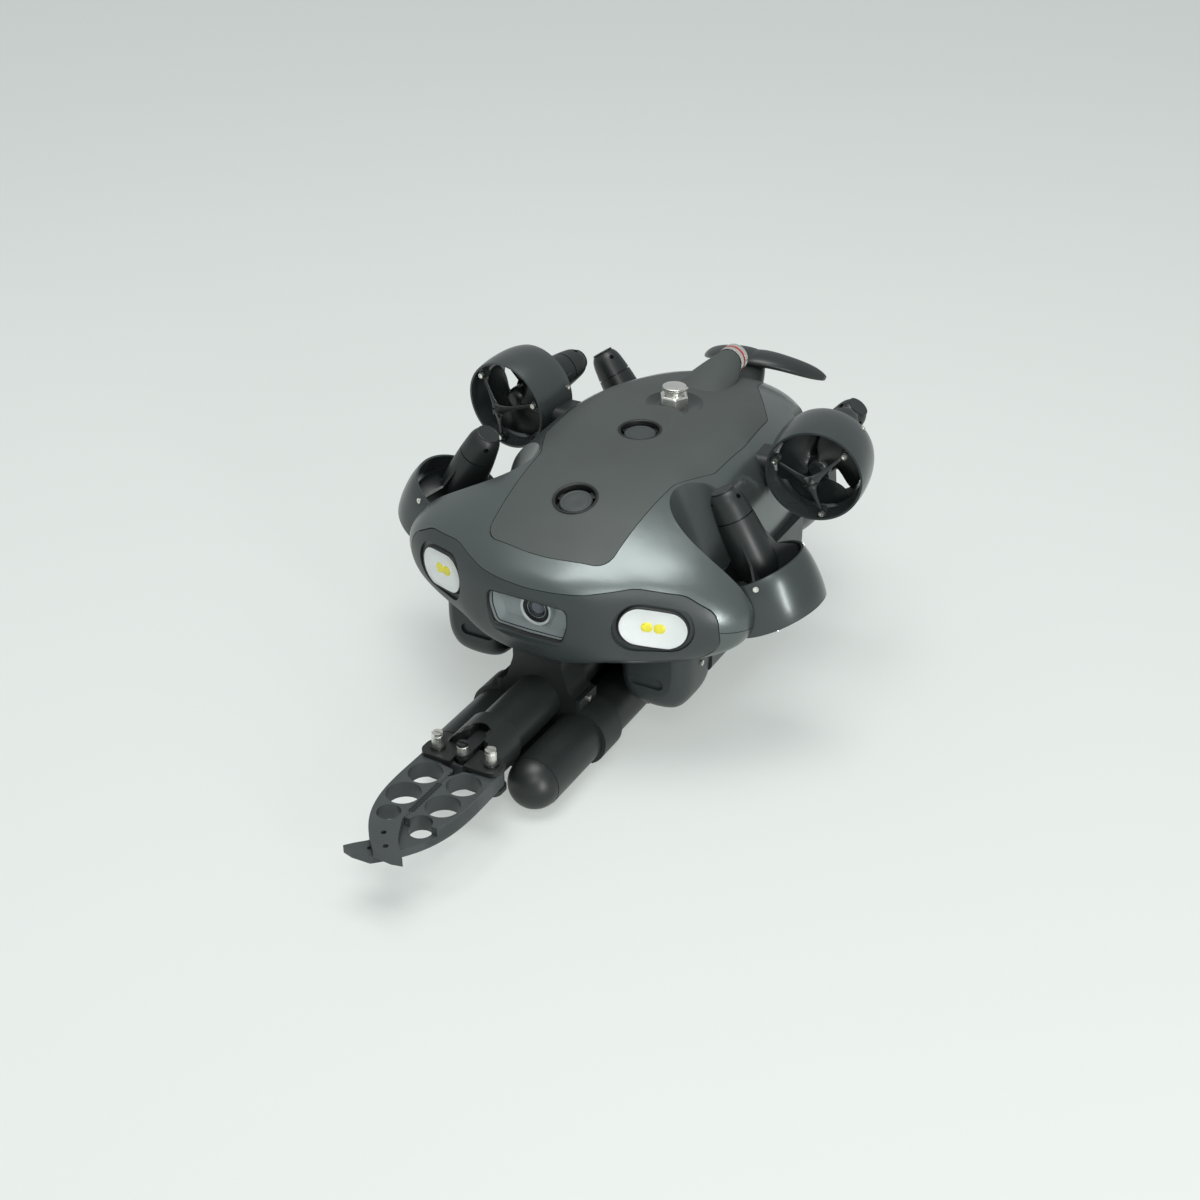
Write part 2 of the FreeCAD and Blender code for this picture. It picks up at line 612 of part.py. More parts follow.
def port_socket():
    """A cup with a rim that three bayonet notches open outwards."""
    outer = PORT_OUTER_RADIUS - FIT
    lip = PORT_CAP_RADIUS + 2.0
    cup = revolve([(0, -PORT_DEPTH - 2.5), (outer, -PORT_DEPTH - 2.5), (outer, -0.9), (lip, -0.9),
                   (lip, -PORT_DEPTH), (0, -PORT_DEPTH)])
    notches = []
    for k in range(3):
        notch = Part.makeBox(3.0, 7.0, PORT_DEPTH, V(lip - 1.5, -3.5, -PORT_DEPTH + 1))
        notch.rotate(V(0, 0, 0), V(0, 0, 1), 120 * k + 90)
        notches.append(notch)
    return cup.cut(notches)


def port_cap():
    """A quarter-turn disc with a bevelled edge, standing just off the cup's floor."""
    r = PORT_CAP_RADIUS
    return revolve([(0, -PORT_DEPTH + 0.2), (r, -PORT_DEPTH + 0.2), (r, -1.0), (r - 0.7, -0.3), (0, -0.3)])


def hull_pieces(form):
    """Shells, nose band and back cover, cut from one hull form."""
    outer = form.cut(hull_scoops(0))
    ledge = hull_form(COVER_THICKNESS)
    cavity = hull_cavity(SHELL_WALL).cut(hull_scoops(SHELL_WALL))
    walls = outer.cut(cavity)

    seam = [V(-200, -260, 58), V(-200, -172, 57), V(-200, -120, 46), V(-200, 220, 46)]
    seam += [V(-200, 220, -100), V(-200, -260, -100)]
    below = Part.Face(Part.makePolygon(seam + seam[:1])).extrude(V(400, 0, 0))
    below_gap = below.copy()
    below_gap.translate(V(0, 0, SEAM_GAP))

    pocket = placed(lamp_cut(), lamp_frame(form))
    pockets = [pocket, mirrored(pocket)]
    opening = front_prism(camera_outline(0), HULL_NOSE_Y - 20, 60)
    recess = front_prism(camera_outline(3.0), HULL_NOSE_Y - 20, 21.2)
    band = outer.cut(hull_form(BAND_WALL)).common(nose_band(0)).cut([opening, recess] + pockets)
    band_room = nose_band(SEAM_GAP)

    cover = outer.common(prism(cover_corners(0), 60, 140)).cut(ledge)
    cover_room = prism(cover_corners(SEAM_GAP), 60, 140).cut(ledge)
    fairing = tether_fairing(form)
    holes = [placed(port_hole(), port_place(form, y)) for y in (PORT_FRONT_Y, PORT_REAR_Y)]
    dish_z = surface_height(form, 0, VALVE_Y)
    dish = Part.makeCone(DISH_RADIUS - 8, DISH_RADIUS + 1, DISH_DEPTH + 0.4, V(0, VALVE_Y, dish_z - DISH_DEPTH))
    boss_z = dish_z - DISH_DEPTH - DISH_FLOOR
    boss = Part.makeCylinder(DISH_RADIUS + 2, 40, V(0, VALVE_Y, boss_z))
    cover = cover.fuse([fairing.cut(ledge), outer.common(boss)]).cut(holes + [dish])

    upper = walls.cut([below_gap, band_room, cover_room, boss] + pockets + holes)
    lower = walls.common(below).cut([band_room] + pockets)
    pieces = {"upper_shell": upper, "lower_shell": lower, "nose_band": band, "back_cover": cover}
    pieces = {name: largest(shape) for name, shape in pieces.items()}
    return outer, cavity, pieces


def largest(shape):
    """The main solid of a cut, without crumbs."""
    return max(shape.Solids, key=lambda solid: solid.Volume)


def pod_ring(y, size, lift):
    """A rounded station of the pod's front bulge."""
    middle_x = (POD_INNER_X + POD_OUTER_X) / 2
    half_x = (POD_OUTER_X - POD_INNER_X) / 2
    top = HULL_BASE_Z + HULL_HEIGHT * 0.3
    half_z = (top - POD_BOTTOM_Z) / 2
    points = []
    for k in range(POD_POINTS):
        turn = 2 * math.pi * k / POD_POINTS
        x = half_x * size * signed_power(math.cos(turn), 0.66)
        z = half_z * size * signed_power(math.sin(turn), 0.66)
        points.append(V(middle_x + x, y, (top + POD_BOTTOM_Z) / 2 + lift + z))
    return spline_ring(points)


def battery_pod(outer):
    """The port battery pod: a blunt bulge with a thumb recess, and the case behind it."""
    length = POD_CASE_Y - POD_FRONT_Y + 6
    rings = [pod_ring(POD_FRONT_Y + share * length, size, lift) for share, size, lift in POD_LINES]
    bulge = Part.makeLoft(rings, True, False)
    top = HULL_BASE_Z + HULL_HEIGHT * 0.3
    x0, x1, z1 = POD_INNER_X + 4, POD_CASE_X, POD_CASE_Z
    corners = [(x0, top, 0), (x0, z1 - 8, 7), (x1 - 22, z1 - 10, 12), (x1, z1, 7), (x1, top, 0)]
    case = front_prism(corners, POD_CASE_Y, POD_LENGTH - (POD_CASE_Y - POD_FRONT_Y))
    tools = [outer]
    for name, origin, axis, span, tip, spin in THRUSTERS:
        if name != "mid":
            room = Part.makeCylinder(DUCT_BELLY + DUCT_SEAT_GAP, tip + 30, V(0, 0, -15))
            tools.append(placed(room, thruster_place(origin, axis, 0)))
    middle = (POD_INNER_X + POD_OUTER_X) / 2 - 3
    thumb = front_prism([(middle + x, z + 2.5, r) for x, z, r in stadium(27, 9)], POD_FRONT_Y - 5, 7.2)
    return largest(bulge.fuse(case).cut(tools + [thumb]))


def pod_screw():
    """A small screw on the port pod's outer side, just under the hull."""
    head = screw_head()
    head.rotate(V(0, 0, 0), V(0, 1, 0), -90)
    head.translate(V(POD_OUTER_X + 0.05, -147, 13))
    return head


def mid_pylon(outer):
    """The faired stub that joins a mid duct to the hull's side."""
    name, origin, axis, length, tip, spin = THRUSTERS[1]
    y, z = origin.y + length / 2, origin.z - 6
    root = HULL_BEAM / 2 * 0.5
    body = front_prism([(root, z + 9, 0), (origin.x, z + 9, 0), (origin.x, z - 9, 0), (root, z - 9, 0)],
                       y - 15, 30)
    rim = [edge for edge in body.Edges if edge.BoundBox.XLength > 10]
    body = body.makeFillet(7.5, rim)
    place = thruster_place(origin, axis, spin)
    bore = placed(Part.makeCylinder(DUCT_BORE + 2, length + 40, V(0, 0, -20)), place)
    return largest(body.cut([outer, bore, placed(duct(length), place)]))


def tail_fluke(outer):
    """A whale-tail fin on a short boom at the hull's end."""
    rings = [ellipse_ring(V(0, HULL_NOSE_Y + HULL_LENGTH - 34, 97), 22, 12),
             ellipse_ring(V(0, HULL_NOSE_Y + HULL_LENGTH - 10, 101), 16, 9.5),
             ellipse_ring(V(0, HULL_NOSE_Y + HULL_LENGTH + 8, 106), 9, 8)]
    boom = Part.makeLoft(rings, True, False)
    half = TAIL_SPAN / 2
    root_y = HULL_NOSE_Y + HULL_LENGTH + 3
    lines = [(0.0, 0, 0, 14, 5.3), (0.35, 3, -0.5, 13, 5.0), (0.68, 11, -6, 11, 4.5), (0.9, 20, -12.5, 7.5, 3.5),
             (1.0, 25, -16.5, 3.5, 1.8)]
    rings = []
    for share, back, drop, half_chord, half_thick in lines:
        points = []
        for k in range(12):
            turn = 2 * math.pi * k / 12
            points.append(V(half * share, root_y + back + half_chord * math.cos(turn),
                            113 + drop + half_thick * math.sin(turn)))
        rings.append(spline_ring(points))
    wing = Part.makeLoft(rings, True, False)
    return largest(boom.fuse([wing, mirrored(wing)]).cut(outer))


def lamp_housing(solids):
    """A stadium-shaped can behind a lamp, trimmed to the mouldings round it."""
    wall = 2.2
    block = prism(stadium(LAMP_WIDTH + 2 * wall, LAMP_HEIGHT + 2 * wall), -26, 25)
    hollow = prism(stadium(LAMP_WIDTH, LAMP_HEIGHT), -24, 40)
    return block.cut(hollow), solids


def canister():
    """The sealed tube with the electronics, and its two end discs."""
    start, end = CANISTER_FRONT_Y, CANISTER_FRONT_Y + CANISTER_LENGTH
    tube = cylinder(CANISTER_RADIUS, V(0, start, CANISTER_Z), V(0, end, CANISTER_Z))
    discs = [cylinder(CANISTER_RADIUS + 2, V(0, start - 7, CANISTER_Z), V(0, start, CANISTER_Z)),
             cylinder(CANISTER_RADIUS + 2, V(0, end, CANISTER_Z), V(0, end + 7, CANISTER_Z))]
    return tube.fuse(discs)


def cradles(cavity, tube):
    """Two ribs on the lower shell's floor that hold the canister."""
    ribs = []
    for y in (CANISTER_FRONT_Y + 30, CANISTER_FRONT_Y + CANISTER_LENGTH - 42):
        rib = Part.makeBox(56, 12, 60, V(-28, y, HULL_BASE_Z - 10))
        ribs.append(largest(rib.common(cavity).cut(tube)))
    return ribs


# ---- valve and tether coupling -----------------------------------------------------------
def vent_valve(form):
    """Steel hexagon in the cover's dish, and the turning cap that stands on it."""
    z0 = surface_height(form, 0, VALVE_Y) - DISH_DEPTH
    radius = HEX_ACROSS / math.sqrt(3)
    points = [V(radius * math.cos(math.radians(60 * k)), radius * math.sin(math.radians(60 * k)), 0)
              for k in range(6)]
    nut = Part.Face(Part.makePolygon(points + points[:1])).extrude(V(0, 0, HEX_HEIGHT))
    bevel = revolve([(0, -1), (radius + 1, -1), (radius + 1, HEX_HEIGHT - 2.2), (HEX_ACROSS / 2 - 0.6, HEX_HEIGHT + 0.01),
                     (0, HEX_HEIGHT + 0.01)])
    stem = VALVE_STEM_RADIUS
    nut = nut.common(bevel).cut(Part.makeCylinder(stem + SHAFT_CLEARANCE, HEX_HEIGHT, V(0, 0, 2)))
    h = HEX_HEIGHT
    r = VALVE_CAP_RADIUS
    cap = revolve([(0, 2.2), (stem, 2.2), (stem, h + 0.3), (r - 1.6, h + 0.3), (r - 1.6, h + 3.6), (r, h + 4.0),
                   (r, h + 5.6), (r - 1.0, h + 6.4), (0, h + 6.4)])
    cap = cap.fuse(Part.makeBox(4.0, 3.0, 1.6, V(r - 2, -1.5, h + 4.0)))
    for piece in (nut, cap):
        piece.translate(V(0, VALVE_Y, z0))
    return nut, cap


def tether_coupling():
    """Threaded stub, knurled nut with its colour ring, all facing aft from the fairing."""
    y, z = FAIRING_END_Y, FAIRING_END_Z
    r = COUPLING_RADIUS
    bore = r - PLUG_STEP - 0.8
    end = COUPLING_LENGTH
    plug = r - PLUG_STEP
    stub = revolve([(0, 0), (bore, 0), (bore, end + 1.0), (plug, end + 1.0), (plug, end + 4.6), (plug - 1.0, end + 5.6),
                    (0, end + 5.6)])
    nut = revolve([(bore + SHAFT_CLEARANCE, 0.4), (r, 0.4), (r, 5.4), (r - 1.4, 5.4), (r - 1.4, 7.2), (r, 7.2),
                   (r, end - 0.8), (r - 0.8, end), (bore + SHAFT_CLEARANCE, end)])
    ring = revolve([(r - 1.4, 5.4), (r + 0.2, 5.4), (r + 0.2, 7.2), (r - 1.4, 7.2)])
    place = FreeCAD.Placement(V(0, y, z), FreeCAD.Rotation(V(0, 0, 1), V(0, 1, 0)))
    return [placed(piece, place) for piece in (stub, nut, ring)]


# ---- arm -----------------------------------------------------------------------------------
def along_y(radius, start, end, x, z):
    return cylinder(radius, V(x, start, z), V(x, end, z))


def ballast_tube():
    return along_y(BALLAST_RADIUS, BALLAST_FRONT_Y, BALLAST_FRONT_Y + BALLAST_LENGTH, BALLAST_X, BALLAST_Z)


def ballast_domes():
    """Round end caps with a shallow joint line."""
    domes = []
    for y, side in ((BALLAST_FRONT_Y, -1), (BALLAST_FRONT_Y + BALLAST_LENGTH, 1)):
        ball = Part.makeSphere(BALLAST_RADIUS - 0.3, V(BALLAST_X, y, BALLAST_Z))
        half = along_y(BALLAST_RADIUS + 1, min(y, y + 40 * side), max(y, y + 40 * side), BALLAST_X, BALLAST_Z)
        domes.append(ball.common(half))
    return domes


def saddle(outer, front_y):
    """A block under the hull that spans the arm, with a flange over each ballast tube."""
    end_y = front_y + CLAMP_WIDTH
    ring = along_y(ARM_RADIUS + CLAMP_WALL, front_y, end_y, 0, ARM_Z)
    flange = CLAMP_FLANGE_X - SEAM_GAP / 2
    low = BALLAST_Z + BALLAST_RADIUS
    half = BRACKET_HALF
    outline = [(-half, 50, 0), (-half, ARM_Z + 28, 14), (-flange + 4, CLAMP_TOP_Z + 3, 6), (-flange, CLAMP_TOP_Z, 0),
               (-flange, low - 4, 0), (-14, low - 4, 0), (14, low - 4, 0), (flange, low - 4, 0),
               (flange, CLAMP_TOP_Z, 0), (flange - 4, CLAMP_TOP_Z + 3, 6), (half, ARM_Z + 28, 14), (half, 50, 0)]
    block = front_prism(outline, front_y, CLAMP_WIDTH)
    tubes = [along_y(ARM_RADIUS, front_y - 30, end_y + 30, 0, ARM_Z)]
    for side in (-1, 1):
        tubes.append(along_y(BALLAST_RADIUS, front_y - 30, end_y + 30, side * BALLAST_X, BALLAST_Z))
    return largest(block.fuse(ring).cut(tubes + [outer]))


def strap(front_y):
    """The port ballast tube's strap: an open ring with an upright flange."""
    y0, width = front_y + 0.4, CLAMP_WIDTH - 0.8
    ring = along_y(BALLAST_RADIUS + CLAMP_WALL, y0, y0 + width, BALLAST_X, BALLAST_Z)
    inner_x = CLAMP_FLANGE_X + SEAM_GAP / 2
    flange = Part.makeBox(3.4, width, CLAMP_TOP_Z - BALLAST_Z, V(inner_x, y0, BALLAST_Z))
    away = Part.makeBox(80, CLAMP_WIDTH, 80, V(inner_x - 80, front_y, BALLAST_Z - 4))
    flat = Part.makeBox(80, CLAMP_WIDTH, 60, V(BALLAST_X - 40, front_y, BALLAST_Z - BALLAST_RADIUS - 60))
    return largest(ring.fuse(flange).cut([away, flat, ballast_tube()]))


def clamp_screw(front_y):
    """A round-headed screw on the outer side of the port strap's flange."""
    x = CLAMP_FLANGE_X + SEAM_GAP / 2 + 3.4
    y, z = front_y + CLAMP_WIDTH * 0.5, CLAMP_TOP_Z - 3.6
    head = cylinder(2.3, V(x, y, z), V(x + 1.6, y, z))
    return head.cut(cylinder(1.0, V(x + 0.8, y, z), V(x + 2, y, z)))


def wrist():
    """Collar and fork.  The collar is bored for the drive rod; the fork holds the jaws."""
    collar_front = ARM_FRONT_Y - COLLAR_LENGTH
    collar = along_y(COLLAR_RADIUS, collar_front, ARM_FRONT_Y, 0, ARM_Z)
    flat = Part.makeBox(60, 40, 20, V(-30, collar_front - 1, ARM_Z + COLLAR_RADIUS - 2.4))
    bore = along_y(ROD_RADIUS + SHAFT_CLEARANCE, collar_front - 30, ARM_FRONT_Y + 1, 0, ARM_Z)
    arch = Part.makeCylinder(ARCH_RADIUS, 40, V(0, collar_front, ARM_Z + ROD_RADIUS))
    channel = Part.makeBox(2 * TONGUE_HALF + 1.2, COLLAR_LENGTH - 6, 60, V(-TONGUE_HALF - 0.6, collar_front - 1, ARM_Z))
    collar = collar.cut([flat, bore, arch, channel])

    top_z = ARM_Z + JAW_THICKNESS / 2 + JAW_FIT
    low_z = ARM_Z - JAW_THICKNESS / 2 - JAW_FIT
    half = PIVOT_X + 9.5
    back = collar_front
    plan = [(-half, FORK_FRONT_Y, 7), (half, FORK_FRONT_Y, 7), (half, PIVOT_Y + 6, 6), (14, back, 0), (-14, back, 0),
            (-half, PIVOT_Y + 6, 6)]
    top = prism(plan, top_z, FORK_PLATE)
    low = prism(plan, low_z - FORK_PLATE, FORK_PLATE)
    web = Part.makeBox(28, 4.5, top_z - low_z, V(-14, back - 4.5, low_z))
    slot = prism([(-5.2, FORK_FRONT_Y - 5, 0), (5.2, FORK_FRONT_Y - 5, 0), (5.2, PIVOT_Y + 3.5, 4.5),
                  (-5.2, PIVOT_Y + 3.5, 4.5)], top_z - 1, FORK_PLATE + 2)
    holes = [Part.makeCylinder(PIN_RADIUS, 60, V(side * PIVOT_X, PIVOT_Y, ARM_Z - 30)) for side in (-1, 1)]
    fork = top.fuse([low, web]).cut([slot, bore] + holes)
    return collar, fork


def pivot_pins():
    """Two slotted steel pins through the fork."""
    pins = []
    for side in (-1, 1):
        low = ARM_Z - JAW_THICKNESS / 2 - JAW_FIT - FORK_PLATE - 4.0
        pin = Part.makeCylinder(PIN_RADIUS, PIN_TOP_Z - low, V(side * PIVOT_X, PIVOT_Y, low))
        pins.append(pin.cut(Part.makeBox(12, 1.2, 3, V(side * PIVOT_X - 6, PIVOT_Y - 0.6, PIN_TOP_Z - 1.6))))
    return pins


def drive_rod():
    """The push rod in the wrist; its tongue over the fork holds the pin that works the jaws."""
    low = ARM_Z - JAW_THICKNESS / 2 + 0.2
    pin = Part.makeCylinder(PIN_RADIUS, PIN_TOP_Z - 0.7 - low, V(0, DRIVE_Y, low))
    pin = pin.cut(Part.makeBox(12, 1.2, 3, V(-6, DRIVE_Y - 0.6, PIN_TOP_Z - 2.3)))
    start = ARM_FRONT_Y - COLLAR_LENGTH + ROD_SETBACK
    rod = along_y(ROD_RADIUS, start, ARM_FRONT_Y + 14, 0, ARM_Z)
    plate = ARM_Z + JAW_THICKNESS / 2 + JAW_FIT + FORK_PLATE + JAW_FIT
    t = TONGUE_HALF
    tongue = prism([(-t, DRIVE_Y - t, t * 0.98), (t, DRIVE_Y - t, t * 0.98), (t, start + RISER_LENGTH, 0),
                    (-t, start + RISER_LENGTH, 0)],
                   plate, TONGUE_THICKNESS)
    riser = Part.makeBox(2 * t, RISER_LENGTH, plate + TONGUE_THICKNESS - ARM_Z, V(-t, start, ARM_Z))
    return rod.fuse([pin, tongue, riser])


def jaw_edge(side):
    """The toothed closing line from the fork to the hooked tip; the jaws' teeth alternate."""
    points = []
    depth = side * JAW_TOOTH_DEPTH / 2
    for k in range(JAW_TEETH):
        y = JAW_TOOTH_START - JAW_TOOTH_PITCH * k
        points.append((depth, y))
        points.append((-depth, y - JAW_TOOTH_PITCH / 2))
    return points


def jaw(upper):
    """One jaw, drawn for the starboard side.

    The grip is full height; the hooked tip and the lever round the drive pin take only
    the upper or the lower half, so that the two jaws cross without touching.
    """
    low = ARM_Z - JAW_THICKNESS / 2
    half = JAW_THICKNESS / 2
    gap = JAW_MESH_GAP / 2
    edge = [(x - gap, y) for x, y in jaw_edge(1 if upper else -1)]
    edge_end = edge[-1][1]
    outer_line = [V(-29.3, -303, 0), V(-29.6, -330, 0), V(-28.2, -354, 0), V(-21.6, -377, 0), V(-9.2, -396, 0),
                  V(1.5, -407, 0)]
    outer = Part.BSplineCurve()
    outer.interpolate(outer_line)

    hook_start = edge_end - 1.5
    grip_path = [outer_line[-1], V(-gap, -402, 0), V(-gap, hook_start, 0)]
    grip_path += [V(x, y, 0) for x, y in reversed(edge)]
    grip_path += [V(-gap - JAW_TOOTH_DEPTH / 2, JAW_TOOTH_START + 2.5, 0), V(-13.5, -309.8, 0), V(-13.5, -303, 0), outer_line[0]]
    lines = [Part.LineSegment(a, b).toShape() for a, b in zip(grip_path, grip_path[1:])]
    grip = Part.Face(Part.Wire([outer.toShape()] + lines)).extrude(V(0, 0, JAW_THICKNESS))
    other_low = -1 if upper else half - JAW_FIT / 2
    hook_room = Part.makeBox(80, 60, half + 1 + JAW_FIT / 2, V(-50, hook_start + 1 - 60, other_low))

    hook_line = [(1.5, -407, 0), (15.0, -407.6, 3), (22.5, -405.8, 0), (18.0, -400.5, 0), (8.7, -391.3, 40),
                 (-gap + 0.3, hook_start - 2, 0), (-6.0, hook_start - 2, 0), (-9.2, -396, 0)]
    hook = prism(hook_line, 0, half - JAW_FIT / 2)
    lug = Part.makeCylinder(8.5, JAW_THICKNESS, V(-PIVOT_X, PIVOT_Y, 0))
    heel = prism([(-29.3, PIVOT_Y, 0), (-29.3, -306, 0), (-13.0, -312, 0), (-12.3, PIVOT_Y, 0)], 0, JAW_THICKNESS)
    lever = prism([(-PIVOT_X, PIVOT_Y - 6.8, 0), (7.5, PIVOT_Y - 8.3, 6), (7.5, PIVOT_Y + 5.3, 6),
                   (-PIVOT_X, PIVOT_Y + 6.0, 0)], 0, half - JAW_FIT / 2)
    shift = V(0, 0, half + JAW_FIT / 2) if upper else V(0, 0, 0)
    hook.translate(shift)
    lever.translate(shift)

    sweep = LEVER_REACH + 1.5
    other = Part.makeCylinder(sweep, half + JAW_FIT / 2, V(PIVOT_X, PIVOT_Y, 0 if upper else half - JAW_FIT / 2))
    grip = grip.fuse([heel]).cut([other, hook_room])
    play = PIN_RADIUS + SLOT_PLAY
    end = SLOT_HALF
    slot = prism([(-end, DRIVE_Y - play, 3.9), (end, DRIVE_Y - play, 3.9), (end, DRIVE_Y + play, 3.9),
                  (-end, DRIVE_Y + play, 3.9)], -1, JAW_THICKNESS + 2)
    body = grip.fuse([hook, lug, lever])
    holes = [Part.makeCylinder(PIN_RADIUS + PIN_CLEARANCE, 40, V(-PIVOT_X, PIVOT_Y, -10))]
    for x, y, radius in JAW_HOLES:
        holes.append(Part.makeCylinder(radius, 40, V(x, y, -10)))
    body = body.cut(holes + [slot])
    body.translate(V(0, 0, low))
    return largest(body)


# ---- everything --------------------------------------------------------------------------
NODES = {}


def add(name, shape):
    """Collect one node; a list becomes a group of separate solids."""
    items = shape if isinstance(shape, (list, tuple)) else [shape]
    solids = [solid for item in items for solid in item.Solids]
    NODES[name] = solids[0] if len(solids) == 1 else Part.makeCompound(solids)


def write_nodes():
    """Move every node so that the middle of the box stands on the origin, and write it."""
    boxes = [shape.optimalBoundingBox(False, False) for shape in NODES.values()]
    middle_y = (min(box.YMin for box in boxes) + max(box.YMax for box in boxes)) / 2
    lowest = min(box.ZMin for box in boxes)
    print("row origin in the hull datum: y %.3f, z %.3f" % (middle_y, lowest))
    for name, shape in NODES.items():
        node = shape.copy()
        node.translate(V(0, -middle_y, -lowest))
        if not node.isValid():
            print("not valid:", name)
        node.exportStep(os.path.join("parts", name + ".step"))
    print(len(NODES), "nodes written")


def build_thrusters():
    guards = []
    screws = []
    for name, origin, axis, length, tip, spin in THRUSTERS:
        place = thruster_place(origin, axis, spin)
        pieces = {"duct": duct(length), "motor": motor(length, tip), "propeller": propeller()}
        for kind, shape in pieces.items():
            port = placed(shape, place)
            add("%s_%s_port" % (kind, name), port)
            add("%s_%s_starboard" % (kind, name), mirrored(port))
        grid = placed(guard(), place)
        guards += [grid, mirrored(grid)]
        for head in duct_screws(length):
            one = placed(head, place)
            screws += [one, mirrored(one)]
    add("duct_guards", guards)
    add("guard_screws", screws)


def build_nose(form, pieces):
    window, plate, barrel, ring, glass = camera_parts()
    add("camera_window", window)
    add("camera_plate", plate)
    add("lens_barrel", barrel)
    add("lens_ring", ring)
    add("lens_glass", glass)
    housing = front_prism(camera_outline(2.5), HULL_NOSE_Y + 2, 20)
    housing = housing.cut(front_prism(camera_outline(0), HULL_NOSE_Y, 19.5))
    lens_room = cylinder(LENS_RING_RADIUS + FIT, V(0, HULL_NOSE_Y, CAMERA_Z), V(0, HULL_NOSE_Y + 60, CAMERA_Z))
    solids = [pieces["nose_band"], pieces["upper_shell"], pieces["lower_shell"]]
    add("camera_housing", largest(housing.cut(solids + [lens_room])))
    place = lamp_frame(form)
    for name, shape in (("lamp_windows", lamp_window()), ("lamp_reflectors", lamp_reflector()),
                        ("lamp_emitters", Part.makeCompound(lamp_emitters()))):
        port = placed(shape, place)
        add(name, [port, mirrored(port)])
    can, unused = lamp_housing(solids)
    port = largest(placed(can, place).cut(solids))
    add("lamp_housings", [port, mirrored(port)])


def build_back(form, outer):
    sockets = []
    for name, y in (("front", PORT_FRONT_Y), ("rear", PORT_REAR_Y)):
        place = port_place(form, y)
        sockets.append(placed(port_socket(), place))
        add("port_cap_" + name, placed(port_cap(), place))
    add("port_sockets", sockets)
    nut, cap = vent_valve(form)
    add("vent_hex", nut)
    add("vent_cap", cap)
    stub, knurled, ring = tether_coupling()
    add("coupling_stub", stub)
    add("coupling_nut", knurled)
    add("coupling_ring", ring)
    add("tail_fluke", tail_fluke(outer))


def build_arm(outer):
    arm = along_y(ARM_RADIUS, ARM_FRONT_Y, ARM_FRONT_Y + ARM_LENGTH, 0, ARM_Z)
    add("arm_tube", arm.cut(along_y(ROD_RADIUS + 1, ARM_FRONT_Y - 1, ARM_FRONT_Y + 30, 0, ARM_Z)))
    collar, fork = wrist()
    add("wrist_collar", collar)
    add("jaw_fork", fork)
    tube = ballast_tube()
    add("ballast_tubes", [tube, mirrored(tube)])
    domes = ballast_domes()
    add("tube_domes", domes + [mirrored(dome) for dome in domes])
    add("arm_saddles", [saddle(outer, CLAMP_FRONT_Y), saddle(outer, CLAMP_REAR_Y)])
    bands = [strap(y) for y in (CLAMP_FRONT_Y, CLAMP_REAR_Y)]
    add("clamp_straps", bands + [mirrored(band) for band in bands])
    screws = [clamp_screw(y) for y in (CLAMP_FRONT_Y, CLAMP_REAR_Y)] + [pod_screw()]
    add("clamp_screws", screws + [mirrored(screw) for screw in screws])
    add("pivot_pins", pivot_pins())
    add("drive_rod", drive_rod())
    add("jaw_starboard", jaw(True))
    add("jaw_port", mirrored(jaw(False)))


def build():
    os.makedirs("parts", exist_ok=True)
    form = hull_form(0)
    outer, cavity, pieces = hull_pieces(form)
    for name, shape in pieces.items():
        add(name, shape)
    pod = battery_pod(outer)
    add("battery_pod_port", pod)
    add("battery_pod_starboard", mirrored(pod))
    pylon = mid_pylon(outer)
    add("mid_pylons", [pylon, mirrored(pylon)])
    tube = canister()
    add("pressure_canister", tube)
    add("canister_cradles", cradles(cavity, tube))
    build_nose(form, pieces)
    build_back(form, outer)
    build_thrusters()
    build_arm(outer)
    write_nodes()


build()
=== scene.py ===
"""Underwater inspection vehicle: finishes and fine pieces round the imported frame.

Metres in the row frame: +Z up, the nose to -Y, the port side to +X.
"""
import json
import math

import bmesh
import bpy
import numpy as np
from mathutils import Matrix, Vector


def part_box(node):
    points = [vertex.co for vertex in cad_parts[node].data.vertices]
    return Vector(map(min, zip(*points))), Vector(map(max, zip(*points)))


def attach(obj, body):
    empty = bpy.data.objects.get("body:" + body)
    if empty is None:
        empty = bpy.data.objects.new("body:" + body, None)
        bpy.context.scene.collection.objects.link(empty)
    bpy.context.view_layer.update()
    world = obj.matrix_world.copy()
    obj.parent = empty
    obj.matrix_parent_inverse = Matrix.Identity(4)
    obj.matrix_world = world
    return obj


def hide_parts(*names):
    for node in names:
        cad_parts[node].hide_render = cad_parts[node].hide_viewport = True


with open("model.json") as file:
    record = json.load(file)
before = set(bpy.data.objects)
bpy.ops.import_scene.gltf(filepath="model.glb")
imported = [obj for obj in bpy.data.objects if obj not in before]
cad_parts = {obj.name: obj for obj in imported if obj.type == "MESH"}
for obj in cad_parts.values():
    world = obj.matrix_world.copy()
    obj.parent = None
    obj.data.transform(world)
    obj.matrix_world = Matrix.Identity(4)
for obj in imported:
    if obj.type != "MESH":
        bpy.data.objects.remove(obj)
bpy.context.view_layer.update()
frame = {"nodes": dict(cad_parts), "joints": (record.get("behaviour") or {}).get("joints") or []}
NODES = frame["nodes"]
JOINTS = {joint["name"]: joint for joint in frame["joints"]}
SIDES = {"port": 1.0, "starboard": -1.0}
THRUSTERS = ("front", "mid", "rear")
MM = 0.001
TURN = 2.0 * math.pi
THIRD = TURN / 3.0
UP = np.array((0.0, 0.0, 1.0))
AFT = np.array((0.0, 1.0, 0.0))


# ---- finishes ------------------------------------------------------------------------
DRIFT_START, DRIFT_END = 0.3, 0.7       # the part of a noise's range that a drift spans
EDGE_START, EDGE_END = 0.53, 0.60       # the pointiness at which the painted edge highlight starts, and is full
COAT_WEIGHT, COAT_ROUGHNESS = 0.25, 0.18


